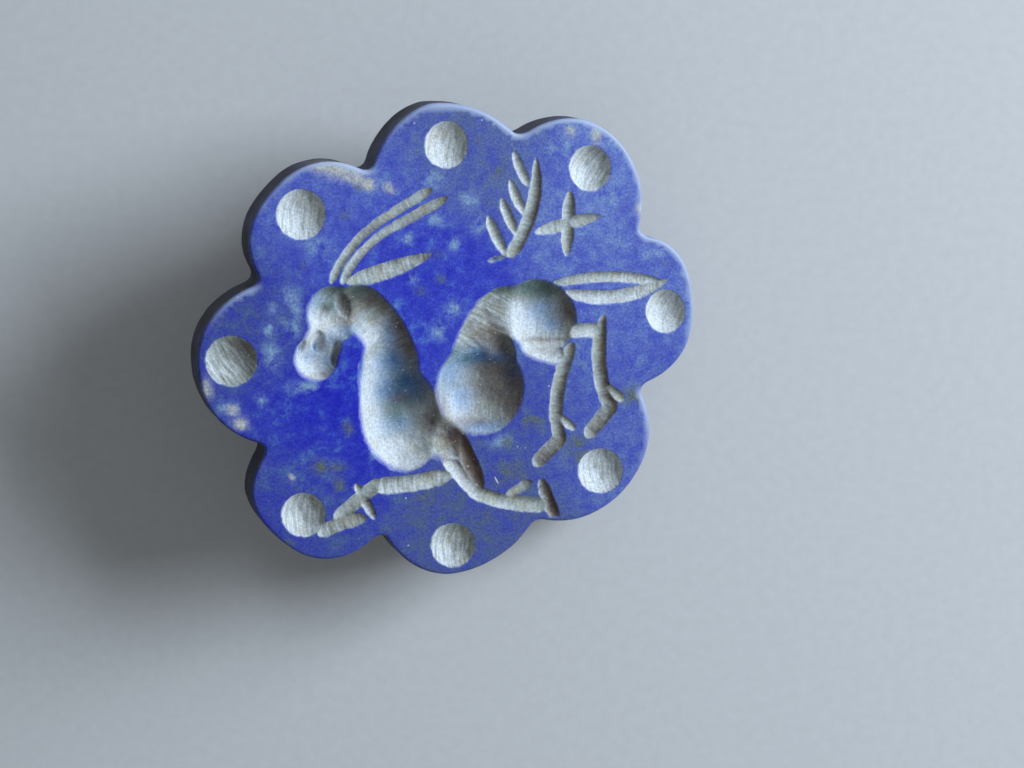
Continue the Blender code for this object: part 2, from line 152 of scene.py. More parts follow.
carving = {
    "cell": 0.088,           # spacing of the mesh in the cuts
    "coarse": 4,             # the plain face is this much coarser
    "gridHalf": 19.2,        # the mesh's grid reaches this far from the middle
    "fineFrom": -0.30,       # the fine mesh starts where the cuts' slopes, carried on upward, stand this high
    "fineRoom": 0.7,         # cells left free inside the face's edge, in the fine mesh and in the coarse one
    "coarseRoom": 1.6,
    "samples": 56,           # along one stroke
    "reach": 1.0,            # a cut is worked out this far round itself
    "bodyBlend": 0.20,       # the goat's rounds flow into each other
    "blend": 0.045,          # and the other cuts meet more sharply
    "point": 0.12,           # width left at a stroke's point, as a share
    "swellPower": 0.6,       # how full a stroke swells from its point
    "slopeMost": 2.5,        # steepest slope past a cut's rim
    "deepest": 2.3,
    "bodyRimRound": 0.16,    # the worn rims of the goat's rounds
    "rimRound": 0.035,
    # unevenness, with the distance between its hills, its seed and its octaves
    "rimRagged": 0.06, "rimReach": 0.16, "rimLumps": (0.42, 5, 2),
    "floorUneven": 0.05, "floorFrom": 0.5, "floorLumps": (0.9, 8, 3),
    "faceUneven": 0.010, "faceLumps": (4.5, 21, 2),
    "edgeGuard": 0.15,       # no cut opens through the edge
    "guardSlope": 6,
    "toneBlend": 0.10,       # how softly one cut's chalk passes into the next one's
    "bodyToneBlend": 0.30,   # and the same in the goat's rounds
    "bodyEdge": 0.10,        # a stroke this much deeper than the goat's rounds is no longer part of them
    "lightFrom": (0.92, 0.40),  # the walls that face this way get painted light, and those facing away painted shade
    # start x y, end x y, bow to the left, width, depth, swelling at start and end
    "strokes": {
        "hornOuter": (-8.76, 4.72, -3.56, 9.77, 0.76, 0.68, 0.23, 0.10, 0.05),
        "hornOuterTip": (-4.41, 9.39, -1.41, 11.05, 0.03, 0.76, 0.25, 0.08, 0.25),
        "hornInner": (-7.98, 4.64, -3.55, 8.75, 0.61, 0.66, 0.22, 0.10, 0.05),
        "hornInnerTip": (-4.26, 8.45, -0.25, 10.42, 0.00, 0.78, 0.26, 0.08, 0.25),
        "ear": (-7.64, 4.73, -1.50, 6.43, -0.11, 1.27, 0.43, 0.35, 0.55),
        "brow": (-7.98, 3.70, -7.42, 2.15, 0.00, 0.95, 0.22, 0.50, 0.50),
        "nostrilFront": (-9.56, 1.15, -9.65, -0.27, 0.00, 0.90, 0.27, 0.50, 0.50),
        "nostrilSide": (-10.82, 0.70, -10.98, -0.15, 0.00, 0.62, 0.20, 0.40, 0.40),
        "nostrilFar": (-8.28, 0.40, -8.50, -1.30, 0.00, 0.72, 0.22, 0.40, 0.40),
        "neck": (-7.72, 3.62, -3.88, -2.60, 0.87, 3.42, 1.15, 0.22, 0.20),
        "chestFront": (-4.78, 0.35, -4.46, -5.35, 0.00, 4.60, 1.45, 0.45, 0.30),
        "waist": (1.72, -3.60, 5.20, 3.00, 1.18, 3.95, 1.21, 0.30, 0.30),
        "haunchNear": (5.32, -0.50, 9.09, -1.78, -0.07, 1.42, 0.52, 0.25, 0.40),
        "haunchFar": (7.01, 0.32, 11.46, 0.30, 0.07, 1.10, 0.36, 0.30, 0.15),
        "shankFar": (11.57, 1.48, 12.05, -5.45, -0.62, 1.12, 0.37, 0.35, 0.12),
        "hoofFar": (12.44, -5.10, 10.35, -7.43, 0.00, 1.19, 0.39, 0.25, 0.20),
        "dewclawFar": (11.57, -3.78, 13.14, -5.00, 0.00, 0.73, 0.24, 0.30, 0.30),
        "shankNear": (9.16, -0.53, 7.88, -6.45, -0.39, 1.09, 0.36, 0.20, 0.20),
        "pasternNear": (7.72, -4.88, 8.19, -7.74, 0.00, 0.99, 0.33, 0.30, 0.15),
        "hoofNear": (8.42, -7.38, 6.35, -9.29, 0.00, 1.18, 0.39, 0.20, 0.20),
        "dewclawNear": (7.72, -5.62, 9.34, -6.92, 0.00, 0.66, 0.22, 0.30, 0.30),
        "tailUpper": (7.31, 3.81, 16.33, 3.49, 0.55, 0.81, 0.27, 0.30, 0.30),
        "tailLower": (8.30, 3.33, 16.41, 3.74, -0.81, 1.07, 0.35, 0.35, 0.35),
        "forelegBack": (-0.70, -7.94, 2.23, -11.41, -0.11, 1.23, 0.40, 0.30, 0.30),
        "forelegFront": (0.21, -6.53, 2.15, -10.96, 0.07, 1.25, 0.45, 0.20, 0.30),
        "forearmBack": (1.02, -10.73, 7.20, -12.39, -0.41, 1.07, 0.35, 0.20, 0.15),
        "cannonBack": (3.98, -11.84, 7.20, -12.39, -0.15, 1.19, 0.33, 0.30, 0.20),
        "spurBack": (4.13, -11.63, 5.97, -10.65, 0.08, 0.78, 0.26, 0.30, 0.30),
        "hoofBack": (6.74, -10.48, 7.98, -13.66, -0.07, 0.97, 0.32, 0.35, 0.30),
        "armNear": (-5.62, -10.09, 0.27, -9.56, -0.22, 1.30, 0.39, 0.12, 0.35),
        "shinNear": (-5.40, -9.81, -8.67, -12.28, 0.00, 1.10, 0.36, 0.15, 0.20),
        "kneeNear": (-7.17, -9.83, -5.80, -12.50, 0.00, 0.72, 0.30, 0.30, 0.35),
        "hoofNearFore": (-6.46, -12.38, -9.85, -13.29, -0.22, 1.08, 0.36, 0.30, 0.20),
        "branchStem": (6.30, 12.99, 4.29, 5.98, 0.72, 1.02, 0.34, 0.45, 0.12),
        "twigOne": (4.66, 13.47, 5.78, 11.02, -0.07, 0.73, 0.24, 0.40, 0.40),
        "twigTwo": (4.36, 11.49, 5.49, 8.95, -0.07, 0.73, 0.24, 0.40, 0.40),
        "twigThree": (3.73, 10.23, 4.89, 7.54, -0.07, 0.73, 0.24, 0.40, 0.40),
        "twigFour": (2.72, 8.99, 4.06, 6.14, -0.07, 0.80, 0.26, 0.40, 0.40),
        "twigFoot": (2.64, 5.77, 4.21, 6.06, 0.00, 0.44, 0.11, 0.40, 0.40),
        "crossUpright": (8.88, 10.55, 8.63, 5.86, 0.00, 0.99, 0.33, 0.30, 0.35),
        "crossBar": (6.24, 7.63, 11.17, 8.65, 0.07, 0.99, 0.33, 0.35, 0.40),
    },
    # pits in the hollows of the head and muzzle, cut into their surface
    "pits": ("brow", "nostrilFront", "nostrilSide", "nostrilFar"),
    "pitSoft": 0.07, "pitFrom": 0.3,
    # centre x y, length, width, direction of the length, depth
    "rounds": {
        "head": (-8.60, 2.52, 4.12, 4.04, -66, 1.30),
        "muzzle": (-9.95, -0.61, 3.32, 3.20, -56, 1.15),
        "jaw": (-9.35, 0.62, 3.00, 2.75, -66, 0.85),
        "chest": (-3.80, -5.25, 8.10, 6.05, -77, 1.90),
        "shoulder": (-0.45, -7.00, 4.20, 3.00, -65, 0.80),
        "flank": (3.61, -0.64, 3.40, 2.10, -62, 1.15),
        "belly": (2.13, -3.50, 7.00, 6.70, -61, 2.00),
        "rump": (6.68, 1.57, 6.00, 5.16, -39, 1.65),
        "dotOne": (-0.32, 14.13, 3.38, 3.18, -79, 0.90),
        "dotTwo": (10.41, 12.13, 3.37, 3.17, -70, 0.90),
        "dotThree": (16.32, 1.44, 3.32, 3.06, -65, 0.90),
        "dotFour": (11.35, -10.19, 3.64, 3.33, -33, 0.95),
        "dotFive": (0.03, -14.91, 3.50, 3.23, -38, 0.90),
        "dotSix": (-11.01, -11.81, 3.35, 3.15, -53, 0.90),
        "dotSeven": (-15.95, -0.41, 3.71, 3.56, -34, 0.95),
        "dotEight": (-10.84, 9.63, 3.61, 3.52, -58, 0.95),
    },
    "bodies": (
        "neck", "chestFront", "waist", "head", "jaw", "muzzle", "chest", "shoulder", "belly", "flank", "rump",
        "haunchNear",
    ),
    # how chalky the cut surface is, from 0, brownish, to 1, white
    "chalkElse": 0.6,
    "chalk": {
        "head": 0.76, "muzzle": 0.94, "jaw": 0.95, "neck": 0.58, "chest": 0.68, "chestFront": 0.60, "belly": 0.55,
        "waist": 0.50, "shoulder": 0.28, "rump": 0.66, "haunchNear": 0.78, "haunchFar": 0.75, "ear": 0.64,
        "hornOuter": 0.52, "hornInner": 0.62, "hornOuterTip": 0.54, "hornInnerTip": 0.46, "tailUpper": 0.68,
        "tailLower": 0.80, "dotOne": 0.96, "dotTwo": 0.88, "dotThree": 0.99, "dotFour": 0.92, "dotFive": 0.70,
        "dotSix": 0.78, "dotSeven": 0.58, "dotEight": 0.88, "armNear": 0.64, "forearmBack": 0.64, "shankFar": 0.32,
        "hoofFar": 0.30, "shankNear": 0.46, "pasternNear": 0.42, "hoofNear": 0.30, "forelegBack": 1.0,
        "forelegFront": 0.0, "cannonBack": 0.46, "spurBack": 0.38, "hoofBack": 0.12, "shinNear": 0.50,
        "kneeNear": 0.55, "hoofNearFore": 0.52, "branchStem": 0.50, "twigOne": 0.72, "twigTwo": 0.72,
        "twigThree": 0.62, "twigFour": 0.70, "twigFoot": 0.30, "crossBar": 0.66, "crossUpright": 0.52,
        "brow": 0.30, "flank": 0.40, "nostrilFront": 0.45, "nostrilSide": 0.40, "nostrilFar": 0.45,
    },
    # how much the painted shade and painted light differ from wall to wall
    "shadeElse": 1.3, "bodyShadeElse": 1.0,
    "shade": {
        "branchStem": 1.9, "forelegFront": 1.7, "hoofBack": 1.6, "twigOne": 0.9, "twigTwo": 0.9, "twigThree": 1.1,
        "twigFour": 1.0, "tailUpper": 1.0, "tailLower": 0.8, "forelegBack": 1.5, "cannonBack": 0.8,
        "pasternNear": 0.8, "dewclawFar": 0.8, "dotOne": 0.45, "dotTwo": 0.45, "dotThree": 0.45, "dotFour": 0.55,
        "dotFive": 0.6, "dotSix": 0.5, "dotSeven": 0.4, "dotEight": 0.5,
    },
    # how plainly the tool's ribs show, and the direction in which they run in a round cut, in degrees
    "ribsElse": 0.35,
    "ribs": {
        "ear": 0.8, "armNear": 0.7, "tailUpper": 0.6, "tailLower": 0.6, "hoofNearFore": 0.7, "forearmBack": 0.5,
        "crossBar": 0.5, "dotEight": 1.0, "dotFour": 1.2, "dotSeven": 0.9, "dotSix": 1.0, "dotOne": 1.1,
        "dotTwo": 1.0, "dotThree": 1.1, "dotFive": 1.0, "head": 0.8, "jaw": 0.7, "muzzle": 0.7, "chest": 0.3,
        "belly": 0.4, "flank": 0.4, "shoulder": 0.3, "rump": 0.5, "waist": 0.7, "neck": 0.5, "chestFront": 0.25,
    },
    "ribsRun": {
        "dotEight": 84, "dotFour": 97, "dotSeven": 125, "dotSix": 88, "dotOne": 80, "dotTwo": 60, "dotThree": 70,
        "dotFive": 85, "head": 70, "jaw": 72, "muzzle": 72, "chest": 88, "shoulder": 88, "belly": 80,
        "flank": 75, "rump": 78,
    },
}


def fromRadius(dist, width, depth):
    # depth at a distance from the middle of a round-bottomed cut; outside it goes on rising at the rim's slope
    radius = (width * width / 4 + depth * depth) / (2 * depth)
    inside = np.sqrt(np.maximum(radius * radius - dist * dist, 0)) - (radius - depth)
    slope = np.minimum(width / 2 / (radius - depth), carving["slopeMost"])
    return np.where(dist < width / 2, inside, slope * (width / 2 - dist))


def strokeCut(name, x, y):
    x0, y0, x1, y1, bow, width, depth, swellStart, swellEnd = carving["strokes"][name]
    s = np.linspace(0, 1, carving["samples"])
    length = math.hypot(x1 - x0, y1 - y0)
    leftX, leftY = -(y1 - y0) / length, (x1 - x0) / length
    px = x0 + (x1 - x0) * s + leftX * bow * 4 * s * (1 - s)
    py = y0 + (y1 - y0) * s + leftY * bow * 4 * s * (1 - s)
    grow = np.where(s >= swellStart, 1.0, 1 - (1 - s / swellStart) ** 2)
    fall = np.where(1 - s >= swellEnd, 1.0, 1 - (1 - (1 - s) / swellEnd) ** 2)
    w = width * np.maximum((grow * fall) ** carving["swellPower"], carving["point"])
    dist = np.hypot(x[:, None] - px, y[:, None] - py)
    value = fromRadius(dist, w, depth * w / width)
    best = value.argmax(axis=1)
    rows = np.arange(len(x))
    across = ((x - px[best]) * leftX + (y - py[best]) * leftY)
    along = s[best] * length + ((x - px[best]) * leftY - (y - py[best]) * leftX)
    return value[rows, best], along, across


def roundCut(name, x, y):
    cx, cy, length, width, angle, depth = carving["rounds"][name]
    c, s = math.cos(math.radians(angle)), math.sin(math.radians(angle))
    u = ((x - cx) * c + (y - cy) * s) * 2 / length
    v = ((y - cy) * c - (x - cx) * s) * 2 / width
    mean = math.sqrt(length * width)
    value = fromRadius(np.hypot(u, v) * mean / 2, mean, depth)
    run = math.radians(carving["ribsRun"].get(name, 80))
    across = (x - cx) * math.cos(run) + (y - cy) * math.sin(run)
    along = (y - cy) * math.cos(run) - (x - cx) * math.sin(run)
    return value, along, across


def reachOf(name):
    # centre and radius of the circle that holds a cut
    if name in carving["rounds"]:
        cx, cy, length = carving["rounds"][name][:3]
        return cx, cy, length / 2
    x0, y0, x1, y1, bow, width = carving["strokes"][name][:6]
    return (x0 + x1) / 2, (y0 + y1) / 2, math.hypot(x1 - x0, y1 - y0) / 2 + abs(bow) + width / 2


def carve(x, y, edgeRadius, full=False):
    # how deep the carving is at each point, below zero where the face is left; full adds what the finish needs
    bodies, others, pits, chalk, along, across, ribs, shade = (np.zeros(len(x)) for _ in range(8))
    weight = np.full(len(x), 1e-6)
    best = np.full(len(x), -9.0)
    for name in (*carving["strokes"], *carving["rounds"]):
        cx, cy, radius = reachOf(name)
        near = np.flatnonzero(np.hypot(x - cx, y - cy) < radius + carving["reach"])
        if not len(near):
            continue
        cut = strokeCut if name in carving["strokes"] else roundCut
        value, a, b = cut(name, x[near], y[near])
        body = name in carving["bodies"]
        if body:
            bodies[near] += np.exp(value / carving["bodyBlend"])
        elif name in carving["pits"]:
            soft = carving["pitSoft"]
            pits[near] += soft * np.log1p(np.exp(np.clip(value / soft, -30, 30)))
        else:
            others[near] += np.exp(value / carving["blend"])
        if full:
            share = np.exp(np.clip(value, -1.5, 2.5) / carving["bodyToneBlend" if body else "toneBlend"])
            chalk[near] += share * carving["chalk"].get(name, carving["chalkElse"])
            weight[near] += share
            won = value > best[near]
            spot = near[won]
            best[spot] = value[won]
            along[spot], across[spot] = a[won], b[won]
            ribs[spot] = carving["ribs"].get(name, carving["ribsElse"])
            shade[spot] = carving["shade"].get(name, carving["bodyShadeElse" if body else "shadeElse"])
    bodyDepth = carving["bodyBlend"] * np.log(bodies + 1e-9)
    depth = carving["blend"] * np.log(np.exp(bodyDepth / carving["blend"]) + others + 1e-9)
    depth = depth + pits * np.clip(depth / carving["pitFrom"], 0, 1)
    rim = np.exp(-(depth / carving["rimReach"]) ** 2)
    depth = depth + carving["rimRagged"] * rim * lumps(x, y, *carving["rimLumps"])
    low = np.clip(depth / carving["floorFrom"], 0, 1)
    depth = depth + carving["floorUneven"] * low * lumps(x, y, *carving["floorLumps"])
    past = np.maximum(np.hypot(x, y) - (edgeRadius - carving["edgeGuard"]), 0)
    depth = np.clip(depth - carving["guardSlope"] * past, -1, carving["deepest"])
    if not full:
        return depth
    inBody = np.clip(1 - (depth - bodyDepth) / carving["bodyEdge"], 0, 1)
    return depth, along, across, ribs, shade, chalk / weight, inBody


def rimLines(depth, xs, ys, edgeRadiusAt):
    # where the face meets the cuts: points on the grid's lines, the short edges that join them,
    # and the grid points that are too close to them
    high = depth > 0
    close = np.zeros_like(high)
    ids, points = [], []
    for axis in (1, 0):
        a = depth[:, :-1] if axis else depth[:-1]
        b = depth[:, 1:] if axis else depth[1:]
        cross = (a > 0) != (b > 0)
        r, c = np.nonzero(cross)
        r2, c2 = (r, c + 1) if axis else (r + 1, c)
        lowT, highT = np.zeros(len(r)), np.ones(len(r))
        lowV, highV = a[cross], b[cross]
        for tries in range(4):  # closes in on the place where the depth is zero
            t = lowT + (highT - lowT) * np.clip(lowV / (lowV - highV), 0.08, 0.92)
            x, y = xs[c] + (xs[c2] - xs[c]) * t, ys[r] + (ys[r2] - ys[r]) * t
            value = carve(x, y, edgeRadiusAt(x, y))
            same = (value > 0) == (lowV > 0)
            lowT, lowV = np.where(same, t, lowT), np.where(same, value, lowV)
            highT, highV = np.where(same, highT, t), np.where(same, highV, value)
        t = lowT + (highT - lowT) * lowV / (lowV - highV)
        x, y = xs[c] + (xs[c2] - xs[c]) * t, ys[r] + (ys[r2] - ys[r]) * t
        close[r[t < 0.33], c[t < 0.33]] = True
        close[r2[t > 0.67], c2[t > 0.67]] = True
        table = np.full(cross.shape, -1)
        table[cross] = np.arange(len(r)) + sum(len(p) for p in points)
        ids.append(table)
        points.append(np.c_[x, y])
    across, up = ids
    bottom, top, left, right = across[:-1], across[1:], up[:, :-1], up[:, 1:]
    sides = np.stack((bottom, right, top, left), axis=-1)
    count = (sides >= 0).sum(axis=-1)
    edges = []
    for r, c in zip(*np.nonzero(count == 2)):
        a, b = sides[r, c][sides[r, c] >= 0]
        edges.append((int(a), int(b)))
    for r, c in zip(*np.nonzero(count == 4)):
        b, ri, t, le = (int(v) for v in sides[r, c])
        middle = depth[r:r + 2, c:c + 2].mean() > 0
        edges += [(b, ri), (t, le)] if middle == bool(high[r, c]) else [(b, le), (t, ri)]
    return np.vstack(points), edges, close


def radiusRound(ringX, ringY):
    # a function that gives the ring's radius in the direction of any point
    angle = np.degrees(np.arctan2(ringY, ringX)) % 360
    order = np.argsort(angle)
    angle, radius = angle[order], np.hypot(ringX, ringY)[order]
    return lambda x, y: np.interp(np.degrees(np.arctan2(y, x)) % 360, angle, radius, period=360)


print("stage: outline")
edgeX, edgeY, inX, inY = edgeLine()
worn = stone["wornEdge"] * (1 + stone["wornUneven"] * lumps(edgeX, edgeY, *stone["wornLumps"]))
rimX, rimY = edgeX + inX * worn, edgeY + inY * worn  # where the flat face ends
rimRadius = radiusRound(rimX, rimY)
edgeCount = len(rimX)

print("stage: carving")
cell = carving["cell"]
xs = np.arange(-carving["gridHalf"], carving["gridHalf"], cell)
gridX, gridY = np.meshgrid(xs, xs)
flatX, flatY = gridX.ravel(), gridY.ravel()
gridRim = rimRadius(flatX, flatY)
gridDepth = carve(flatX, flatY, gridRim)
depthMap = gridDepth.reshape(gridX.shape)
rimPoints, rimEdges, close = rimLines(depthMap, xs, xs, rimRadius)
room = gridRim - np.hypot(flatX, flatY)
rows, columns = np.divmod(np.arange(len(flatX)), len(xs))
fine = ~close.ravel() & (room > carving["fineRoom"] * cell)
coarse = (rows % carving["coarse"] == 0) & (columns % carving["coarse"] == 0) & (room > carving["coarseRoom"] * cell)
used = np.where(gridDepth > carving["fineFrom"], fine, coarse)
plan = np.vstack((np.c_[rimX, rimY], rimPoints, np.c_[flatX[used], flatY[used]]))
out = delaunay_2d_cdt(
    [Vector(p) for p in plan], [(a + edgeCount, b + edgeCount) for a, b in rimEdges],
    [list(range(edgeCount))], 1, 1e-3,
)
facePoints = np.array([v[:] for v in out[0]])
faceTriangles = [tuple(f) for f in out[2]]
ringOf = {}
for index, sources in enumerate(out[3]):
    for source in sources:
        if source < edgeCount:
            ringOf[source] = index
assert len(set(ringOf.values())) == edgeCount
print("  face:", len(facePoints), "points,", len(faceTriangles), "triangles")

faceX, faceY = facePoints[:, 0], facePoints[:, 1]
depth, along, across, ribs, shade, chalk, inBody = carve(faceX, faceY, rimRadius(faceX, faceY), full=True)
rimRound = carving["rimRound"] + (carving["bodyRimRound"] - carving["rimRound"]) * inBody
sunk = np.maximum(depth, 0)
sunk = sunk - rimRound * (1 - np.exp(-sunk / rimRound))
faceZ = -sunk - carving["faceUneven"] * dents(faceX, faceY, *carving["faceLumps"])

# which way the walls of the cuts face: 1 toward the light, at the upper right, -1 away from it
slopeY, slopeX = np.gradient(np.maximum(depthMap, 0), cell)
column, row = (faceX - xs[0]) / cell, (faceY - xs[0]) / cell
c0, r0 = np.floor(column).astype(int), np.floor(row).astype(int)
fc, fr = column - c0, row - r0
slope = carving["lightFrom"][0] * slopeX + carving["lightFrom"][1] * slopeY
facing = (slope[r0, c0] * (1 - fc) + slope[r0, c0 + 1] * fc) * (1 - fr)
facing += (slope[r0 + 1, c0] * (1 - fc) + slope[r0 + 1, c0 + 1] * fc) * fr

print("stage: sides and back")
points = [np.c_[faceX, faceY, faceZ]]
triangles = list(faceTriangles)
ring = [ringOf[k] for k in range(edgeCount)]
# the edge is paler along the top and the right, toward the light: part wear, part painted highlight
toward = stone["paleToward"]
paleMost = np.clip(-toward[0] * inX - toward[1] * inY + stone["wornElse"], 0, 1)
edgeWearAndHighlight = [np.zeros(len(facePoints))]
edgeWearAndHighlight[0][ring] = stone["paleAtFace"] * paleMost
total = len(facePoints)
startZ = faceZ[ring]
run = np.arange(edgeCount) * 0.1  # about the length along the edge


def addRing(inset, z, wearAndHighlight):
    global ring, total
    points.append(np.c_[edgeX + inX * inset, edgeY + inY * inset, z])
    edgeWearAndHighlight.append(wearAndHighlight * paleMost)
    new = list(range(total, total + edgeCount))
    for k in range(edgeCount):
        n = (k + 1) % edgeCount
        triangles.append((ring[k], new[k], new[n], ring[n]))
    ring, total = new, total + edgeCount


def wallDent(down):
    return stone["wallUneven"] * dents(run, np.full(edgeCount, down), *stone["wallLumps"])


for step in range(1, stone["edgeRings"] + 1):
    turn = math.pi / 2 * step / stone["edgeRings"]
    inset, down = worn * (1 - math.sin(turn)), worn * (1 - math.cos(turn))
    addRing(inset, startZ - down, 1.0 - stone["paleOnRound"] * step)
wallTop, wallFoot = stone["wornEdge"], stone["thick"] - stone["backRound"]
for step in range(1, stone["wallRings"] + 1):
    share = step / stone["wallRings"]
    dent = wallDent(-(wallTop + (wallFoot - wallTop) * share) * 1.6)
    top = startZ - worn
    addRing(dent * min(1, 3 * share), top + (-wallFoot - top) * share, stone["paleOnWall"] * (1 - share))
for step in range(1, stone["backRings"] + 1):
    share = step / stone["backRings"]
    turn = math.pi / 2 * step / stone["backRings"]
    dent = wallDent(-4.2 - step * 0.3) * (1 - share)
    down = np.full(edgeCount, -wallFoot - stone["backRound"] * math.sin(turn))
    addRing(stone["backRound"] * (1 - math.cos(turn)) + dent, down, 0.0)
addRing(stone["backRound"] + stone["backGap"], np.full(edgeCount, -stone["thick"]), 0.0)

lugSizes = {
    "tall": 5.2, "baseLong": 11.6, "baseWide": 6.6, "topLong": 8.4, "topWide": 3.6,
    "ridgeRound": 0.9, "corner": 1.3, "cornerMost": 0.95, "flare": 0.9, "taper": 1.3, "hollow": 0.1,
    "boreWide": 2.4, "boreMouth": 3.4, "boreDepth": 2.5,
    "boreHalf": 4.6,         # the drill runs this far from the middle, out at both sides
    "boreWaist": 0.04,       # softens the narrowest place
    "boreRings": ((0.03, 9.0), (0.02, 23.0)),  # the drill's rings: height, how closely they follow each other
    "uneven": 0.05, "lumps": (1.4, 41, 3),
    "sides": 96, "cornerSteps": 12, "roundSteps": 8, "flankSteps": 12, "boreSides": 40, "boreSteps": 41,
}
quarters = ((1, 1), (-1, 1), (-1, -1), (1, -1))


def lugHalf(base, top, deep):
    tall, roundness, flare = lugSizes["tall"], lugSizes["ridgeRound"], lugSizes["flare"]
    share = min(max(deep / tall, 0.0), 1.0)
    half = (top + (base - top) * (1 - share) ** lugSizes["taper"]) / 2
    if deep < flare:
        half += flare - math.sqrt(flare ** 2 - (flare - max(deep, 0.0)) ** 2)
    start = tall - roundness
    if deep > start:
        half -= roundness - math.sqrt(max(roundness ** 2 - (deep - start) ** 2, 0.0))
    return half


def lugRing(deep, lean):
    # even steps round a rectangle with rounded corners and slightly hollow long sides
    longHalf = lugHalf(lugSizes["baseLong"], lugSizes["topLong"], deep)
    wideHalf = lugHalf(lugSizes["baseWide"], lugSizes["topWide"], deep)
    corner = min(lugSizes["corner"], wideHalf * lugSizes["cornerMost"])
    corners = []
    for quarter, (sx, sy) in enumerate(quarters):
        for step in range(lugSizes["cornerSteps"] + 1):
            turn = math.pi / 2 * (quarter + step / lugSizes["cornerSteps"])
            x = sx * (longHalf - corner) + corner * math.cos(turn)
            corners.append((x, sy * (wideHalf - corner) + corner * math.sin(turn)))
        if sx == sy:
            corners.append((0.0, sy * (wideHalf - lugSizes["hollow"])))
    corners = np.array(corners + corners[:1])
    run = np.r_[0, np.cumsum(np.hypot(*np.diff(corners, axis=0).T))]
    places = np.linspace(0, run[-1], lugSizes["sides"], endpoint=False)
    x, y = np.interp(places, run, corners[:, 0]), np.interp(places, run, corners[:, 1])
    if 0 < deep < lugSizes["tall"] - lugSizes["ridgeRound"]:
        size = np.hypot(x, y)
        dent = lugSizes["uneven"] * dents(places, np.full(len(places), deep * 2.0), *lugSizes["lumps"])
        dent = dent * min(1, deep / 0.5)
        x, y = x - x / size * dent, y - y / size * dent
    along = lean + math.pi / 2
    c, s = math.cos(along), math.sin(along)
    return np.c_[x * c - y * s, x * s + y * c, np.full(len(x), -stone["thick"] - deep)]


def tubeQuads(rings, sides):
    # faces between rings of points that follow one another
    return [
        (r * sides + k, r * sides + (k + 1) % sides, (r + 1) * sides + (k + 1) % sides, (r + 1) * sides + k)
        for r in range(rings - 1) for k in range(sides)
    ]


def meshObject(name, verts, faces):
    mesh = bpy.data.meshes.new(name)
    mesh.from_pydata([tuple(v) for v in verts], [], faces)
    thing = bpy.data.objects.new(name, mesh)
    bpy.context.scene.collection.objects.link(thing)
    return thing


def sealSeat():
    # where the seal lies and how it leans, from the record's mount on the face
    mount = next(m for m in frame["record"]["mounts"] if m["name"] == "sealing_face")
    up = Vector(mount["axis"]).normalized()
    yAxis = up.cross(Vector((1, 0, 0))).normalized()
    xAxis = yAxis.cross(up)
    turn = Matrix((xAxis, yAxis, up)).transposed()
    centre = Vector(mount["pos_m"]) - yAxis * stone["faceMountUp"] * mm
    return Matrix.Translation(centre) @ turn.to_4x4()


seat = sealSeat()
lean = math.atan2(-seat[2][1], -seat[2][0])  # the direction in which the seal leans, in its own frame

print("stage: lug and string hole")
tall, flare, roundness = lugSizes["tall"], lugSizes["flare"], lugSizes["ridgeRound"]
roundSteps, flankSteps = lugSizes["roundSteps"], lugSizes["flankSteps"]
deeps = [flare * (1 - math.cos(math.pi / 2 * k / roundSteps)) for k in range(roundSteps)]
deeps += [flare + (tall - roundness - flare) * k / flankSteps for k in range(flankSteps)]
deeps += [tall - roundness + roundness * math.sin(math.pi / 2 * k / roundSteps) for k in range(roundSteps + 1)]
lugRings = [lugRing(d, lean) for d in deeps]
sides = lugSizes["sides"]
lugFaces = tubeQuads(len(lugRings), sides)
lugFaces.append(tuple(range(sides)))
lugFaces.append(tuple(range((len(lugRings) - 1) * sides, len(lugRings) * sides))[::-1])
lug = meshObject("lugBody", np.vstack(lugRings), lugFaces)

middleWide = 2 * lugHalf(lugSizes["baseWide"], lugSizes["topWide"], lugSizes["boreDepth"])
boreSpread = (lugSizes["boreMouth"] - lugSizes["boreWide"]) / middleWide
boreSides, boreSteps = lugSizes["boreSides"], lugSizes["boreSteps"]
leanX, leanY = math.cos(lean), math.sin(lean)
boreVerts = []
for station in np.linspace(-lugSizes["boreHalf"], lugSizes["boreHalf"], boreSteps):
    radius = lugSizes["boreWide"] / 2 + boreSpread * math.sqrt(station ** 2 + lugSizes["boreWaist"])
    radius += sum(high * math.sin(station * often) for high, often in lugSizes["boreRings"])
    for k in range(boreSides):
        turn = 2 * math.pi * k / boreSides
        side, up = radius * math.cos(turn), radius * math.sin(turn)
        x, y = station * leanX - side * leanY, station * leanY + side * leanX
        boreVerts.append((x, y, -stone["thick"] - lugSizes["boreDepth"] + up))
boreFaces = tubeQuads(boreSteps, boreSides)
boreFaces.append(tuple(range(boreSides))[::-1])
boreFaces.append(tuple(range((boreSteps - 1) * boreSides, boreSteps * boreSides)))
bore = meshObject("stringHole", boreVerts, boreFaces)
for thing in (lug, bore):
    bm = bmesh.new()
    bm.from_mesh(thing.data)
    bmesh.ops.recalc_face_normals(bm, faces=bm.faces)
    bm.to_mesh(thing.data)
    bm.free()
cut = lug.modifiers.new("stringHole", "BOOLEAN")
cut.operation, cut.solver, cut.object = "DIFFERENCE", "EXACT", bore
lugMesh = bpy.data.meshes.new_from_object(lug.evaluated_get(bpy.context.evaluated_depsgraph_get()))
bm = bmesh.new()
bm.from_mesh(lugMesh)
base = [f for f in bm.faces if all(v.co.z > -stone["thick"] - 1e-4 for v in f.verts)]
bmesh.ops.delete(bm, geom=base, context="FACES_ONLY")
bmesh.ops.triangulate(bm, faces=bm.faces)
bm.verts.ensure_lookup_table()
lugPoints = np.array([v.co[:] for v in bm.verts])
lugTriangles = [tuple(v.index for v in f.verts) for f in bm.faces]
bm.free()
bpy.data.objects.remove(lug)
bpy.data.objects.remove(bore)

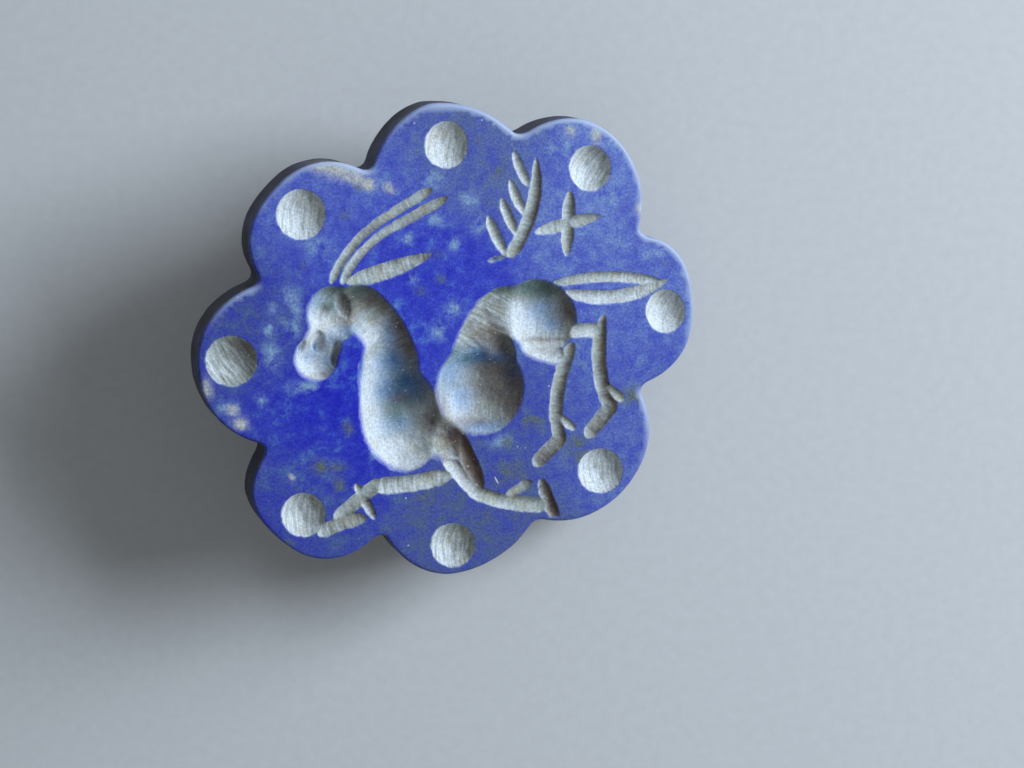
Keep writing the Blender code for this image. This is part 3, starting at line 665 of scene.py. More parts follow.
# the back between its edge and the lug
backRing = np.array([points[-1][k, :2] for k in range(edgeCount)])
footRing = lugRings[0][:, :2]
backGrid = np.arange(-stone["backHalf"], stone["backHalf"], stone["backCell"])
bx, by = (g.ravel() for g in np.meshgrid(backGrid, backGrid))
inside = radiusRound(*backRing.T)(bx, by) - np.hypot(bx, by) > stone["backInset"]
c, s = math.cos(lean + math.pi / 2), math.sin(lean + math.pi / 2)
lugX, lugY = bx * c + by * s, by * c - bx * s
footLong, footWide = np.abs(lugRing(0.0, -math.pi / 2)[:, :2]).max(axis=0)
outside = (np.abs(lugX) > footLong + stone["backGap"]) | (np.abs(lugY) > footWide + stone["backGap"])
free = inside & outside
backPlan = np.vstack((backRing, footRing, np.c_[bx[free], by[free]]))
footEdges = [(edgeCount + k, edgeCount + (k + 1) % sides) for k in range(sides)]
backOut = delaunay_2d_cdt([Vector(p) for p in backPlan], footEdges, [list(range(edgeCount))], 1, 1e-5)
backPoints = np.array([v[:] for v in backOut[0]])
backZ = np.full(len(backPoints), -stone["thick"]) + stone["backUneven"] * dents(*backPoints.T, *stone["backLumps"])
fixed = {}  # points on the edge's last ring or on the lug's foot, with their place there
for index, sources in enumerate(backOut[3]):
    for source in sources:
        if source < edgeCount + sides:
            fixed[index] = source
            backZ[index] = -stone["thick"]
for corners in backOut[2]:
    mx, my = backPoints[list(corners)].mean(axis=0)
    px, py = mx * c + my * s, my * c - mx * s
    onFoot = all(fixed.get(i, -1) >= edgeCount for i in corners)
    if onFoot and abs(px) < footLong and abs(py) < footWide:
        continue  # the lug stands here
    triangles.append(tuple(
        ring[fixed[i]] if fixed.get(i, edgeCount) < edgeCount else total + i for i in reversed(corners)))
points.append(np.c_[backPoints, backZ])
total += len(backPoints)
triangles += [tuple(i + total for i in t) for t in lugTriangles]
points.append(lugPoints)
edgeWearAndHighlight += [np.zeros(len(backPoints)), np.zeros(len(lugPoints))]

# places on the face and in the cuts: centre x y, half width, half height
marks = {
    "calcite": (
        (-9.3, 12.9, 0.55, 0.36), (-8.5, 12.9, 0.66, 0.46), (-7.5, 12.5, 0.60, 0.46), (-6.8, 12.0, 0.40, 0.28),
        (-6.0, 11.6, 0.34, 0.30), (-4.5, 11.2, 0.26, 0.24), (10.9, 14.4, 0.27, 0.42), (14.3, 9.1, 0.28, 0.30),
        (-17.7, -2.2, 0.25, 0.55), (-15.4, -4.9, 0.38, 0.30), (-16.0, -3.9, 0.28, 0.24), (-11.8, -9.1, 0.13, 0.13),
        (8.9, 14.8, 0.24, 0.22),
    ),
    "cloud": (
        (-11.8, 3.9, 0.43, 0.49), (-13.0, 3.0, 0.32, 0.32), (-11.7, 1.6, 0.50, 0.50), (-13.3, 1.7, 0.36, 0.32),
        (-11.2, 2.9, 0.29, 0.42), (-13.2, -0.2, 0.50, 0.78), (-10.8, -2.6, 0.94, 0.32), (-3.2, 7.7, 0.29, 0.50),
        (-1.1, 8.9, 0.51, 0.35), (2.1, 8.3, 0.45, 0.43), (0.2, 7.0, 0.33, 0.32), (-2.9, 4.8, 0.29, 0.29),
        (7.5, 13.4, 0.68, 0.32), (8.6, 14.0, 0.34, 0.32), (11.7, 10.0, 0.69, 0.33), (0.2, 2.4, 0.52, 0.50),
        (-0.9, 1.0, 0.45, 0.58), (-13.9, -3.3, 0.29, 0.29), (-16.3, -3.7, 0.50, 0.32), (-5.7, -7.7, 0.30, 0.29),
        (15.8, 5.8, 0.23, 0.18), (3.6, -7.4, 0.61, 0.37), (-9.7, 7.4, 0.64, 0.49), (-7.8, 6.2, 0.50, 0.35),
        (-1.5, 11.7, 0.66, 0.42), (1.4, 10.2, 0.52, 0.50),
    ),
    "olive": (
        (-9.8, -8.4, 0.50, 0.42), (-8.4, -8.6, 0.40, 0.29), (-8.4, -9.8, 0.40, 0.33), (-7.7, -5.7, 0.33, 0.40),
        (-1.8, -11.3, 0.53, 0.41), (4.7, -9.7, 0.92, 0.45), (3.6, -10.2, 0.46, 0.30), (6.0, -6.2, 0.69, 0.48),
        (4.1, -7.6, 0.31, 0.37), (13.8, -4.7, 0.79, 0.52), (9.7, -8.1, 0.78, 0.60), (9.6, -9.1, 0.55, 0.45),
        (-1.3, 6.4, 0.52, 0.21), (-0.8, 4.6, 0.33, 0.25), (-2.3, 3.8, 0.33, 0.29), (-10.8, 5.9, 0.21, 0.25),
        (-7.8, 9.5, 0.25, 0.25), (-6.8, 11.5, 0.29, 0.24), (2.7, 10.2, 0.22, 0.21), (3.5, 12.4, 0.45, 0.57),
        (1.1, 15.8, 0.44, 0.32), (1.8, 14.3, 0.30, 0.28), (2.5, -12.9, 0.38, 0.30), (5.5, -13.0, 0.46, 0.30),
        (16.4, 4.9, 0.24, 0.18), (-12.0, -13.7, 0.18, 0.15), (10.9, 12.7, 0.46, 0.18), (-10.2, 12.8, 0.28, 0.17),
    ),
    # brown in the cuts: part soil, part painted shade on walls turned from the light and in the pits
    "soilAndShade": (
        (-7.6, 3.0, 0.34, 0.70), (-3.7, 1.4, 0.50, 1.58), (-3.0, 0.0, 0.41, 1.10), (-5.7, 3.2, 0.87, 0.57),
        (3.3, 0.3, 0.80, 0.80), (3.4, -0.7, 0.50, 0.45), (3.6, -3.5, 1.55, 1.30), (4.6, -4.8, 0.80, 1.00),
        (3.4, -2.5, 0.95, 0.75), (8.9, 1.9, 0.46, 0.81), (9.4, 1.4, 0.22, 0.59), (-3.4, -4.1, 0.59, 0.36),
        (-1.2, -5.7, 0.60, 0.65), (0.4, -6.7, 0.50, 0.60), (1.2, -7.6, 0.22, 0.90), (1.2, -9.2, 0.45, 1.60),
        (1.9, -9.6, 0.22, 1.10), (7.7, -12.6, 0.35, 0.90), (-1.4, 10.9, 0.30, 0.25), (-0.3, 10.4, 0.30, 0.25),
        (-1.9, 6.1, 0.45, 0.25), (-15.0, 0.5, 0.90, 0.70), (12.4, -1.0, 0.25, 1.60), (-8.5, -0.8, 0.16, 0.40),
        (-7.2, 2.4, 0.45, 0.65), (-7.2, 3.0, 0.45, 0.60), (-0.6, -8.4, 0.55, 0.28), (1.6, 1.1, 0.38, 0.34),
        (2.4, 0.2, 0.45, 0.40), (6.4, -0.22, 0.50, 0.12), (7.3, -0.30, 0.55, 0.13), (8.2, -0.26, 0.35, 0.11),
        (-0.6, -4.7, 0.50, 0.70), (0.9, -5.9, 0.80, 0.30), (2.3, -6.1, 1.00, 0.28), (-8.9, 2.7, 0.30, 0.34),
        (-9.2, -1.85, 0.40, 0.26),
    ),
    # the stone's blue showing through the cuts' chalky skin
    "thin": (
        (2.5, -1.3, 0.55, 0.55), (3.9, -1.5, 0.90, 0.45), (4.8, -2.4, 0.40, 0.80), (-2.9, -2.6, 0.85, 1.00),
        (-2.2, -3.2, 0.55, 0.90), (-3.9, -1.2, 0.60, 0.70), (-3.9, -3.6, 0.75, 0.70), (-11.0, 0.1, 0.16, 0.36),
        (-9.75, 0.0, 0.14, 0.36), (3.4, 5.9, 0.70, 0.14), (-6.65, -1.3, 0.22, 0.80),
    ),
    # a green-grey under the upper rims, on walls turned from the light: painted shade with a green tint
    "film": (
        (-8.3, 4.2, 1.37, 0.45), (-6.7, 3.8, 0.65, 0.64), (5.9, 3.8, 1.44, 0.44), (7.5, 3.4, 0.84, 0.51),
        (3.6, 3.7, 1.05, 0.36), (6.2, 3.3, 1.20, 0.60), (-3.8, -5.0, 0.75, 0.85), (-2.7, -4.2, 0.70, 0.60),
        (0.0, -0.8, 0.75, 0.58), (1.7, -1.5, 0.80, 0.45), (-3.3, -2.9, 0.70, 0.60), (-8.6, 2.9, 0.80, 0.50),
    ),
    # a bluish haze where the skin is thinner
    "haze": (
        (0.1, -2.3, 0.97, 1.24), (1.3, -1.6, 0.75, 0.58), (2.6, -6.4, 1.50, 0.35), (1.2, -4.3, 0.70, 0.80),
        (7.2, 1.8, 0.90, 0.80), (7.9, 0.7, 0.60, 0.40), (-8.6, 0.6, 0.50, 0.50), (-8.9, -0.9, 0.45, 0.60),
        (-10.2, -0.5, 0.45, 0.40), (2.1, -1.2, 0.90, 0.50), (-4.6, -1.5, 0.80, 0.80), (-6.8, -1.4, 0.32, 1.44),
        (-7.4, 1.0, 0.60, 0.50), (-9.9, 3.6, 0.70, 0.70), (-4.8, -3.4, 0.60, 1.00), (-3.7, -5.9, 1.00, 0.70),
        (-4.3, 0.6, 0.50, 1.00),
    ),
    # where the chalk is thickest, and round the jaw painted light that lifts the shade of the deep hollow
    "white": (
        (-10.2, 1.9, 0.40, 0.78), (-9.1, 1.1, 0.58, 0.43), (-6.4, 0.2, 0.32, 0.49), (-6.5, -4.6, 0.73, 1.30),
        (5.1, 0.6, 0.83, 0.95), (4.6, 1.5, 0.45, 0.73), (6.6, -1.1, 1.07, 0.41), (0.0, -4.7, 0.98, 0.73),
        (0.6, -5.7, 0.83, 0.44), (-10.4, 0.3, 0.18, 0.75), (-9.1, 0.0, 0.20, 0.70), (-10.5, -1.2, 0.86, 0.71),
        (-4.6, -7.9, 1.40, 0.60), (-5.9, -5.6, 0.60, 1.60), (-5.7, -3.0, 0.60, 1.20), (-5.4, -1.6, 0.45, 0.80),
        (-5.2, 1.1, 0.50, 0.80), (-9.5, 1.4, 0.55, 0.45), (-8.8, 1.2, 0.60, 0.45), (-8.7, 0.6, 0.45, 0.50),
        (-9.6, -1.9, 0.60, 0.30), (7.6, -0.95, 0.80, 0.22), (-1.9, -8.5, 0.80, 0.40), (5.6, 1.8, 0.60, 0.80),
        (6.5, 1.4, 0.80, 0.70),
    ),
}
# how thick the pale dust, with a painted sheen strongest at the top and right, and the grey grime lie on the face
# round these places: x y, dust with painted sheen, grime
films = (
    (-10.1, -5.5, 0.03, 0.00), (-1.5, 3.2, 0.10, 0.00), (-6.5, 7.5, 0.06, 0.00), (5.6, -4.2, 0.20, 0.38),
    (2.0, 14.6, 0.36, 0.38), (12.2, 12.4, 0.46, 0.05), (13.5, 6.0, 0.42, 0.10), (12.9, -7.0, 0.34, 0.20),
    (2.7, -14.5, 0.28, 0.50), (-12.7, -10.2, 0.16, 0.42), (-15.2, 1.7, 0.14, 0.42), (-8.4, 10.3, 0.42, 0.12),
    (9.9, -0.5, 0.32, 0.10),
)


def marked(rows, x, y):
    # soft ellipses, from 1 in their middle to 0
    out = np.zeros_like(x)
    for cx, cy, wide, high in rows:
        q = np.hypot((x - cx) / wide, (y - cy) / high)
        out = out + np.exp(-0.7 * q * q) * (1 - out)
    return out


# what the way a cut's walls face the light does to their colour: painted light on walls facing it, painted shade on
# the rest
wallLook = {
    "patchLumps": (1.6, 71, 3),
    "soilAndShadeMarks": 0.75, "paintedShadeLee": 0.35, "paintedShadePower": 1.5, "paintedShadePatchy": (0.9, 0.8),
    "chalkMarks": 0.30, "paintedLight": 0.15, "paintedLightBody": 0.09, "paintedShadeOnChalk": 0.18, "chalkPatchy": 0.12,
    # depth over which the stone's blue fades into the chalky skin, longer in the goat's rounds and on walls turned
    # toward or away from the light
    "fade": 0.05, "fadeBody": 0.12, "fadeLee": 0.25, "fadeLit": 0.50,
    # the pale line along a cut's rim, part wear and part painted highlight where the rim faces the light, broken in
    # places and weak on the goat's rounds
    "rimReach": 0.10, "rimLit": 2.0, "rimLeast": 0.12, "rimPatchy": (0.45, 0.9), "rimLumps": (0.28, 81),
    "rimBody": 0.75, "rimPale": 0.80,
}

allPoints = np.vstack(points)
allX, allY, allZ = allPoints.T
faceCount = len(facePoints)
onFace = allZ > -stone["markedDepth"]
numbers = {name: np.where(onFace, marked(rows, allX, allY), 0.0) for name, rows in marks.items()}
near = [np.exp(-((allX - film[0]) ** 2 + (allY - film[1]) ** 2) / (2 * stone["filmSpread"] ** 2)) for film in films]
for name, column in (("dustAndSheen", 2), ("grime", 3)):
    numbers[name] = sum(n * film[column] for n, film in zip(near, films)) / sum(near)
numbers["edgeWearAndHighlight"] = np.concatenate(edgeWearAndHighlight)

white = numbers.pop("white")[:faceCount]
for name in ("chalk", "skin", "ribs"):
    numbers[name] = np.zeros(len(allPoints))
lee, lit = np.clip(-facing, 0, 1) * shade, np.clip(facing, 0, 1) * shade
patchy = lumps(faceX, faceY, *wallLook["patchLumps"])
darkLow, darkHigh = wallLook["paintedShadePatchy"]
# painted shade on the walls turned away from the light, added to the brown marks
leePaintedShade = wallLook["paintedShadeLee"] * lee ** wallLook["paintedShadePower"] * (darkLow + darkHigh * patchy)
numbers["soilAndShade"][:faceCount] = np.clip(wallLook["soilAndShadeMarks"] * numbers["soilAndShade"][:faceCount] + leePaintedShade, 0, 1)
# painted light makes the walls facing the light chalkier; painted shade lowers the chalk on those turned away
litPaintedLight = wallLook["paintedLight"] + wallLook["paintedLightBody"] * inBody
chalk = chalk + wallLook["chalkMarks"] * white + litPaintedLight * lit
numbers["chalk"][:faceCount] = chalk - wallLook["paintedShadeOnChalk"] * lee + wallLook["chalkPatchy"] * patchy
fade = wallLook["fade"] + inBody * (wallLook["fadeBody"] + wallLook["fadeLee"] * lee + wallLook["fadeLit"] * lit)
numbers["skin"][:faceCount] = np.clip(depth / fade, 0, 1)
numbers["ribs"][:faceCount] = ribs
# the pale line along the cuts' rims: part wear, part painted highlight where a rim faces the light
rimLow, rimHigh = wallLook["rimPatchy"]
rimLight = np.exp(-(depth / wallLook["rimReach"]) ** 2)
rimLight *= np.clip(wallLook["rimLeast"] + wallLook["rimLit"] * facing, wallLook["rimLeast"], 1)
rimLight *= rimLow + rimHigh * lumps(faceX, faceY, *wallLook["rimLumps"])
rimLight *= 1 - wallLook["rimBody"] * inBody
worn = wallLook["rimPale"] * np.clip(rimLight, 0, 1)
numbers["edgeWearAndHighlight"][:faceCount] = np.maximum(numbers["edgeWearAndHighlight"][:faceCount], worn)
toolPlace = np.zeros((len(allPoints), 3))
toolPlace[:faceCount, 0], toolPlace[:faceCount, 1] = along, across

print("stage: one closed mesh")
seatTurn = np.array(seat)[:3, :3]
seal = meshObject("sealStone", allPoints * mm @ seatTurn.T + np.array(seat)[:3, 3], triangles)
mesh = seal.data
for name, values in numbers.items():
    mesh.attributes.new(name, "FLOAT", "POINT").data.foreach_set("value", values.astype(np.float32))
for name, values in (("toolPlace", toolPlace), ("stonePlace", allPoints)):
    mesh.attributes.new(name, "FLOAT_VECTOR", "POINT").data.foreach_set("vector", values.ravel().astype(np.float32))
# faces by finish: 0 worn polish, 1 cut by the wheel, 2 ground sides and back
middleDepth = depth[np.array(faceTriangles)].mean(axis=1)
kinds = np.full(len(mesh.polygons), 2, np.int32)
kinds[:len(faceTriangles)] = np.where(middleDepth > 0, 1, 0)
kinds[len(faceTriangles):len(faceTriangles) + stone["edgeRings"] * edgeCount] = 0
mesh.polygons.foreach_set("material_index", kinds)
bm = bmesh.new()
bm.from_mesh(mesh)
bm.verts.ensure_lookup_table()
onBack = np.flatnonzero(np.abs(allZ + stone["thick"]) < 0.002)
bmesh.ops.remove_doubles(bm, verts=[bm.verts[i] for i in onBack], dist=2e-6)
loose = [v for v in bm.verts if not v.link_faces]
bmesh.ops.delete(bm, geom=loose, context="VERTS")
bmesh.ops.recalc_face_normals(bm, faces=bm.faces)
openEdges = sum(len(e.link_faces) != 2 for e in bm.edges)
bm.to_mesh(mesh)
bm.free()
mesh.shade_smooth()
print("  triangles:", sum(len(p.vertices) - 2 for p in mesh.polygons), "open edges:", openEdges)

noiseSpan = {"From Min": 0.3, "From Max": 0.7}  # nearly all of a noise texture's values lie in here
asColour = {"data_type": "RGBA"}


def addNode(tree, kind, links, out=0, ramp=(), **settings):
    # one node; links maps an input to another node's output or to a value, and the output wanted comes back
    node = tree.nodes.new("ShaderNode" + kind)
    for key, value in settings.items():
        setattr(node, key, value)
    for key, value in links.items():
        socket = node.inputs[key]
        if isinstance(value, bpy.types.NodeSocket):
            tree.links.new(value, socket)
        else:
            socket.default_value = value
    for k, (position, colour) in enumerate(ramp):
        stops = node.color_ramp.elements
        stop = stops[k] if k < len(stops) else stops.new(position)
        stop.position, stop.color = position, colour
    return node.outputs[out] if node.outputs else node


def newMaterial(name):
    material = bpy.data.materials.new(name)
    material.use_nodes = True
    material.node_tree.nodes.clear()
    return material, material.node_tree


def stained(tree, colour, patches, look):
    # films, dirt and inclusions, with painted shade in the cuts and a painted sheen on the face, where the mesh says
    # they are, uneven with the stone's patches
    low, high = look["layersSpan"]
    for layer, (least, most) in look["layers"].items():
        mark = addNode(tree, "Attribute", {}, "Fac", attribute_name=layer)
        uneven = addNode(tree, "MapRange", {
            "Value": patches, "From Min": low, "From Max": high, "To Min": least, "To Max": most})
        share = addNode(tree, "Math", {0: mark, 1: uneven}, operation="MULTIPLY", use_clamp=True)
        colour = addNode(tree, "Mix", {0: share, 6: colour, 7: linear(look[layer])}, 2, **asColour)
    return colour


def grained(tree, colour, grain, look):
    # lighter and darker from grain to grain
    bright = addNode(tree, "MapRange", {
        "Value": grain, **noiseSpan, "To Min": look["grainLow"], "To Max": look["grainHigh"]})
    return addNode(tree, "Mix", {0: 1.0, 6: colour, 7: bright}, 2, blend_type="MULTIPLY", **asColour)


def flecked(tree, colour, where, look):
    # pale crystals or crumbs, scattered
    near = addNode(tree, "TexVoronoi", {"Vector": where, "Scale": 1 / look["fleckEvery"]}, "Distance")
    rim, core = look["fleckSize"]
    fleck = addNode(tree, "MapRange", {"Value": near, "From Min": rim, "From Max": core, "To Max": 0.7})
    return addNode(tree, "Mix", {0: fleck, 6: colour, 7: linear(look["fleck"])}, 2, **asColour)


def paleByWearAndHighlight(tree, colour, look):
    # paler where handling has worn an edge or a rim, and where a painted highlight lies on those facing the light
    wearAndHighlight = addNode(tree, "Attribute", {}, "Fac", attribute_name="edgeWearAndHighlight")
    return addNode(tree, "Mix", {0: wearAndHighlight, 6: colour, 7: linear(look["worn"])}, 2, **asColour)


def finished(tree, colour, roughness, height, look):
    # the small bumps and the shader
    bump = addNode(tree, "Bump", {"Strength": look["bump"], "Distance": look["bumpDeep"] * mm, "Height": height})
    shader = addNode(tree, "BsdfPrincipled", {
        "Base Color": colour, "Roughness": roughness, "Normal": bump, "IOR": look["ior"],
        "Specular IOR Level": look["shine"]})
    addNode(tree, "OutputMaterial", {"Surface": shader})


lapis = {
    "deep": "#0608bb", "middle": "#1121c2", "pale": "#3a63c6", "cloudy": "#8aa9d6",
    # the pale dust colour also stands for a painted sheen
    "dustAndSheen": "#9fb9da", "grime": "#465049", "cloud": "#8aa7c8", "olive": "#66705c", "calcite": "#c6c6bd",
    "fleck": "#dfe3e8",
    "shades": {"deep": 0.45, "middle": 0.535, "pale": 0.625, "cloudy": 0.75},
    "patch": 3.4, "mottle": 0.9, "fleckEvery": 1.7,  # millimetres
    "grain": 0.17,           # millimetres; the real grains are finer, and are drawn as coarse as they need to show
    "grainLow": 0.66, "grainHigh": 1.34, "fleckSize": (0.05, 0.025),
    # how much of each film or inclusion shows where the mottling is weakest and strongest
    "layersSpan": (0.41, 0.59),
    "layers": {
        "dustAndSheen": (0.65, 1.30), "grime": (0.6, 1.3), "cloud": (0.0, 1.5), "olive": (0.0, 1.25), "calcite": (0.7, 1.9),
    },
}


def stoneColour(tree, where):
    # ultramarine lazurite, clouded by calcite, with grey-green diopside and a fine grain
    patch = addNode(tree, "TexNoise", {
        "Vector": where, "Scale": 1 / lapis["patch"], "Detail": 4.0, "Roughness": 0.6, "Distortion": 0.5})
    mottle = addNode(tree, "TexNoise", {
        "Vector": where, "Scale": 1 / lapis["mottle"], "Detail": 5.0, "Roughness": 0.65, "Distortion": 0.3})
    grain = addNode(tree, "TexNoise", {
        "Vector": where, "Scale": 1 / lapis["grain"], "Detail": 2.0, "Roughness": 0.6})
    blend = addNode(tree, "Mix", {0: 0.6, 2: patch, 3: mottle}, data_type="FLOAT")
    ramp = [(position, linear(lapis[shade])) for shade, position in lapis["shades"].items()]
    colour = addNode(tree, "ValToRGB", {0: blend}, ramp=ramp)
    colour = stained(tree, colour, blend, lapis)
    colour = grained(tree, colour, grain, lapis)
    return flecked(tree, colour, where, lapis), mottle, grain


wornPolish = {
    # the worn pale also stands for a painted highlight on the edge facing the light
    "ior": 1.50, "shine": 0.35, "roughLow": 0.40, "roughHigh": 0.58, "worn": "#b9c6dc",
    "scratches": 0.10, "bump": 0.3, "bumpDeep": 0.03,  # millimetres apart, and deep
    # one fresh scratch: place, direction in degrees, half length and half width
    "scratch": (3.33, -10.32, 0.0), "scratchTurn": -27.0, "scratchLong": 0.34, "scratchWide": 0.05,
}


def lapisWornPolish():
    # polished once, dulled by handling: a soft broad sheen with fine scratches, paler along the worn edge and its
    # painted highlight
    material, tree = newMaterial("lapisWornPolish")
    where = addNode(tree, "Attribute", {}, "Vector", attribute_name="stonePlace")
    colour, mottle, grain = stoneColour(tree, where)
    colour = paleByWearAndHighlight(tree, colour, wornPolish)
    size = (wornPolish["scratchWide"], wornPolish["scratchLong"], 9.0)
    turn = (0, 0, math.radians(-wornPolish["scratchTurn"]))
    line = addNode(tree, "Mapping", {0: where, 1: wornPolish["scratch"], 2: turn, 3: size}, vector_type="TEXTURE")
    far = addNode(tree, "VectorMath", {0: line}, "Value", operation="LENGTH")
    scratch = addNode(tree, "MapRange", {"Value": far, "From Min": 1.1, "From Max": 0.7})
    colour = addNode(tree, "Mix", {0: scratch, 6: colour, 7: linear(lapis["fleck"])}, 2, **asColour)
    roughness = addNode(tree, "MapRange", {
        "Value": mottle, **noiseSpan, "To Min": wornPolish["roughLow"], "To Max": wornPolish["roughHigh"]})
    drawn = addNode(tree, "Mapping", {0: where, 3: (0.25, 1.0, 1.0)})
    scratches = addNode(tree, "TexNoise", {"Vector": drawn, "Scale": 1 / wornPolish["scratches"], "Detail": 2.0})
    height = addNode(tree, "Math", {0: scratches, 1: grain}, operation="ADD")
    finished(tree, colour, roughness, height, wornPolish)
    return material


wheelCut = {
    "brown": "#766c66", "middle": "#aab1aa", "white": "#dfe3e2", "cream": "#c3b68f", "fleck": "#dfe3e2",
    # the soil's brown is partly painted shade, the film's green-grey is painted shade, and the worn pale partly a
    # painted highlight
    "soilAndShade": "#66473a", "thin": "#2b6699", "film": "#456e66", "haze": "#86add8", "worn": "#dfe3e2",
    "shades": {"brown": 0.10, "middle": 0.50, "white": 0.95},
    "blotch": 0.75, "fleckEvery": 0.65, "ribPitch": 0.25, "creamPatch": 1.1,  # millimetres
    "blotchTone": 0.14, "ribDark": -0.36, "ribPale": 0.28, "creamShare": 0.32, "grainHeight": 0.35,
    "ribStretch": 0.16,      # the ribs run long across the tool's path
    "ior": 1.50, "shine": 0.3, "roughness": 0.85, "grainLow": 0.78, "grainHigh": 1.22, "fleckSize": (0.11, 0.07),
    "bump": 1.0, "bumpDeep": 0.07,
    # how much of each layer shows where the blotches are weakest and strongest
    "layersSpan": (0.3, 0.7),
    "layers": {"haze": (0.42, 0.84), "film": (0.468, 0.936), "thin": (0.48, 0.96), "soilAndShade": (0.444, 0.888)},
}


def lapisWheelCut():
    # cut with wheel and drill and never polished: matt, chalky from the grit, ribbed across the tool's path,
    # with soil and painted shade in the hollows, and painted light on the walls that face the light
    material, tree = newMaterial("lapisWheelCut")
    where = addNode(tree, "Attribute", {}, "Vector", attribute_name="stonePlace")
    stoneBlue, _, grain = stoneColour(tree, where)
    blotch = addNode(tree, "TexNoise", {
        "Vector": where, "Scale": 1 / wheelCut["blotch"], "Detail": 4.0, "Roughness": 0.62})
    tool = addNode(tree, "Attribute", {}, "Vector", attribute_name="toolPlace")
    drawn = addNode(tree, "Mapping", {0: tool, 3: (1.0, wheelCut["ribStretch"], 1.0)})
    rib = addNode(tree, "TexNoise", {
        "Vector": drawn, "Scale": 1 / wheelCut["ribPitch"], "Detail": 1.5, "Roughness": 0.5})
    ribs = addNode(tree, "Attribute", {}, "Fac", attribute_name="ribs")
    # the chalk's tone, from brown to white, with the walls' painted light and shade in it
    chalk = addNode(tree, "Attribute", {}, "Fac", attribute_name="chalk")
    uneven = addNode(tree, "MapRange", {
        "Value": blotch, **noiseSpan, "To Min": -wheelCut["blotchTone"], "To Max": wheelCut["blotchTone"]})
    ribbed = addNode(tree, "MapRange", {
        "Value": rib, **noiseSpan, "To Min": wheelCut["ribDark"], "To Max": wheelCut["ribPale"]})
    ribTone = addNode(tree, "Math", {0: ribbed, 1: ribs, 2: uneven}, operation="MULTIPLY_ADD")
    tone = addNode(tree, "Math", {0: chalk, 1: ribTone}, operation="ADD")
    ramp = [(position, linear(wheelCut[shade])) for shade, position in wheelCut["shades"].items()]
    colour = addNode(tree, "ValToRGB", {0: tone}, ramp=ramp)
    warm = addNode(tree, "TexNoise", {
        "Vector": where, "Scale": 1 / wheelCut["creamPatch"], "Detail": 3.0, "Roughness": 0.6})
    creamShare = addNode(tree, "MapRange", {
        "Value": warm, "From Min": 0.48, "From Max": 0.66, "To Max": wheelCut["creamShare"]})
    colour = addNode(tree, "Mix", {0: creamShare, 6: colour, 7: linear(wheelCut["cream"])}, 2, **asColour)
    colour = stained(tree, colour, blotch, wheelCut)
    colour = grained(tree, colour, grain, wheelCut)
    colour = flecked(tree, colour, where, wheelCut)
    skin = addNode(tree, "Attribute", {}, "Fac", attribute_name="skin")
    colour = addNode(tree, "Mix", {0: skin, 6: stoneBlue, 7: colour}, 2, **asColour)
    colour = paleByWearAndHighlight(tree, colour, wheelCut)
    ribHeight = addNode(tree, "Math", {0: ribs, 1: rib}, operation="MULTIPLY")
    height = addNode(tree, "Math", {0: grain, 1: wheelCut["grainHeight"], 2: ribHeight}, operation="MULTIPLY_ADD")
    finished(tree, colour, wheelCut["roughness"], height, wheelCut)
    return material


groundSide = {
    # the soil's dark olive-brown is partly painted shade, and the worn pale partly a painted highlight
    "soilAndShade": "#463d27", "dull": "#595b70", "worn": "#8188a0",
    "broad": 2.6, "grindPitch": 0.3, "bumpDeep": 0.08,  # millimetres
    "bump": 0.7, "ior": 1.50, "shine": 0.4, "roughLow": 0.62, "roughHigh": 0.85,
    "darkLow": 0.62, "darkHigh": 0.86, "dullShare": 0.35, "grainHeight": 0.5,
}


def lapisGroundSide():
    # ground to shape and left matt: the stone's blue under a dark olive-brown that is part soil and part painted
    # shade, a little thicker in patches
    material, tree = newMaterial("lapisGroundSide")
    where = addNode(tree, "Attribute", {}, "Vector", attribute_name="stonePlace")
    colour, _, grain = stoneColour(tree, where)
    broad = addNode(tree, "TexNoise", {
        "Vector": where, "Scale": 1 / groundSide["broad"], "Detail": 5.0, "Roughness": 0.6, "Distortion": 0.5})
    dull = linear(groundSide["dull"])
    colour = addNode(tree, "Mix", {0: groundSide["dullShare"], 6: colour, 7: dull}, 2, **asColour)
    cover = addNode(tree, "MapRange", {
        "Value": broad, "From Min": 0.30, "From Max": 0.66, "To Min": groundSide["darkLow"],
        "To Max": groundSide["darkHigh"]}, interpolation_type="SMOOTHSTEP")
    colour = addNode(tree, "Mix", {0: cover, 6: colour, 7: linear(groundSide["soilAndShade"])}, 2, **asColour)
    colour = paleByWearAndHighlight(tree, colour, groundSide)
    roughness = addNode(tree, "MapRange", {
        "Value": broad, **noiseSpan, "To Min": groundSide["roughLow"], "To Max": groundSide["roughHigh"]})
    drawn = addNode(tree, "Mapping", {0: where, 3: (1.0, 1.0, 3.0)})
    grind = addNode(tree, "TexNoise", {
        "Vector": drawn, "Scale": 1 / groundSide["grindPitch"], "Detail": 3.0, "Roughness": 0.6})
    height = addNode(tree, "Math", {0: grain, 1: groundSide["grainHeight"], 2: grind}, operation="MULTIPLY_ADD")
    finished(tree, colour, roughness, height, groundSide)
    return material


print("stage: materials")
for maker in (lapisWornPolish, lapisWheelCut, lapisGroundSide):
    mesh.materials.append(maker())

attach(seal, "root")
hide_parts("seal_stone")

studio = {
    "table": "#f4f2ec", "tableFleck": "#e8e5de", "tableHalf": 0.6, "tableGrain": 0.8,
    "skyColour": "#d6e2f0", "skyStrength": 0.18,
    "lights": {  # direction, size, distance, power, colour
        "windowLight": ((0.76, 0.30, 0.40), 0.24, 0.42, 2.20, "#dcebff"),
        "fillLight": ((-0.35, -0.55, 0.9), 0.5, 0.6, 0.10, "#f2efe8"),
    },
}


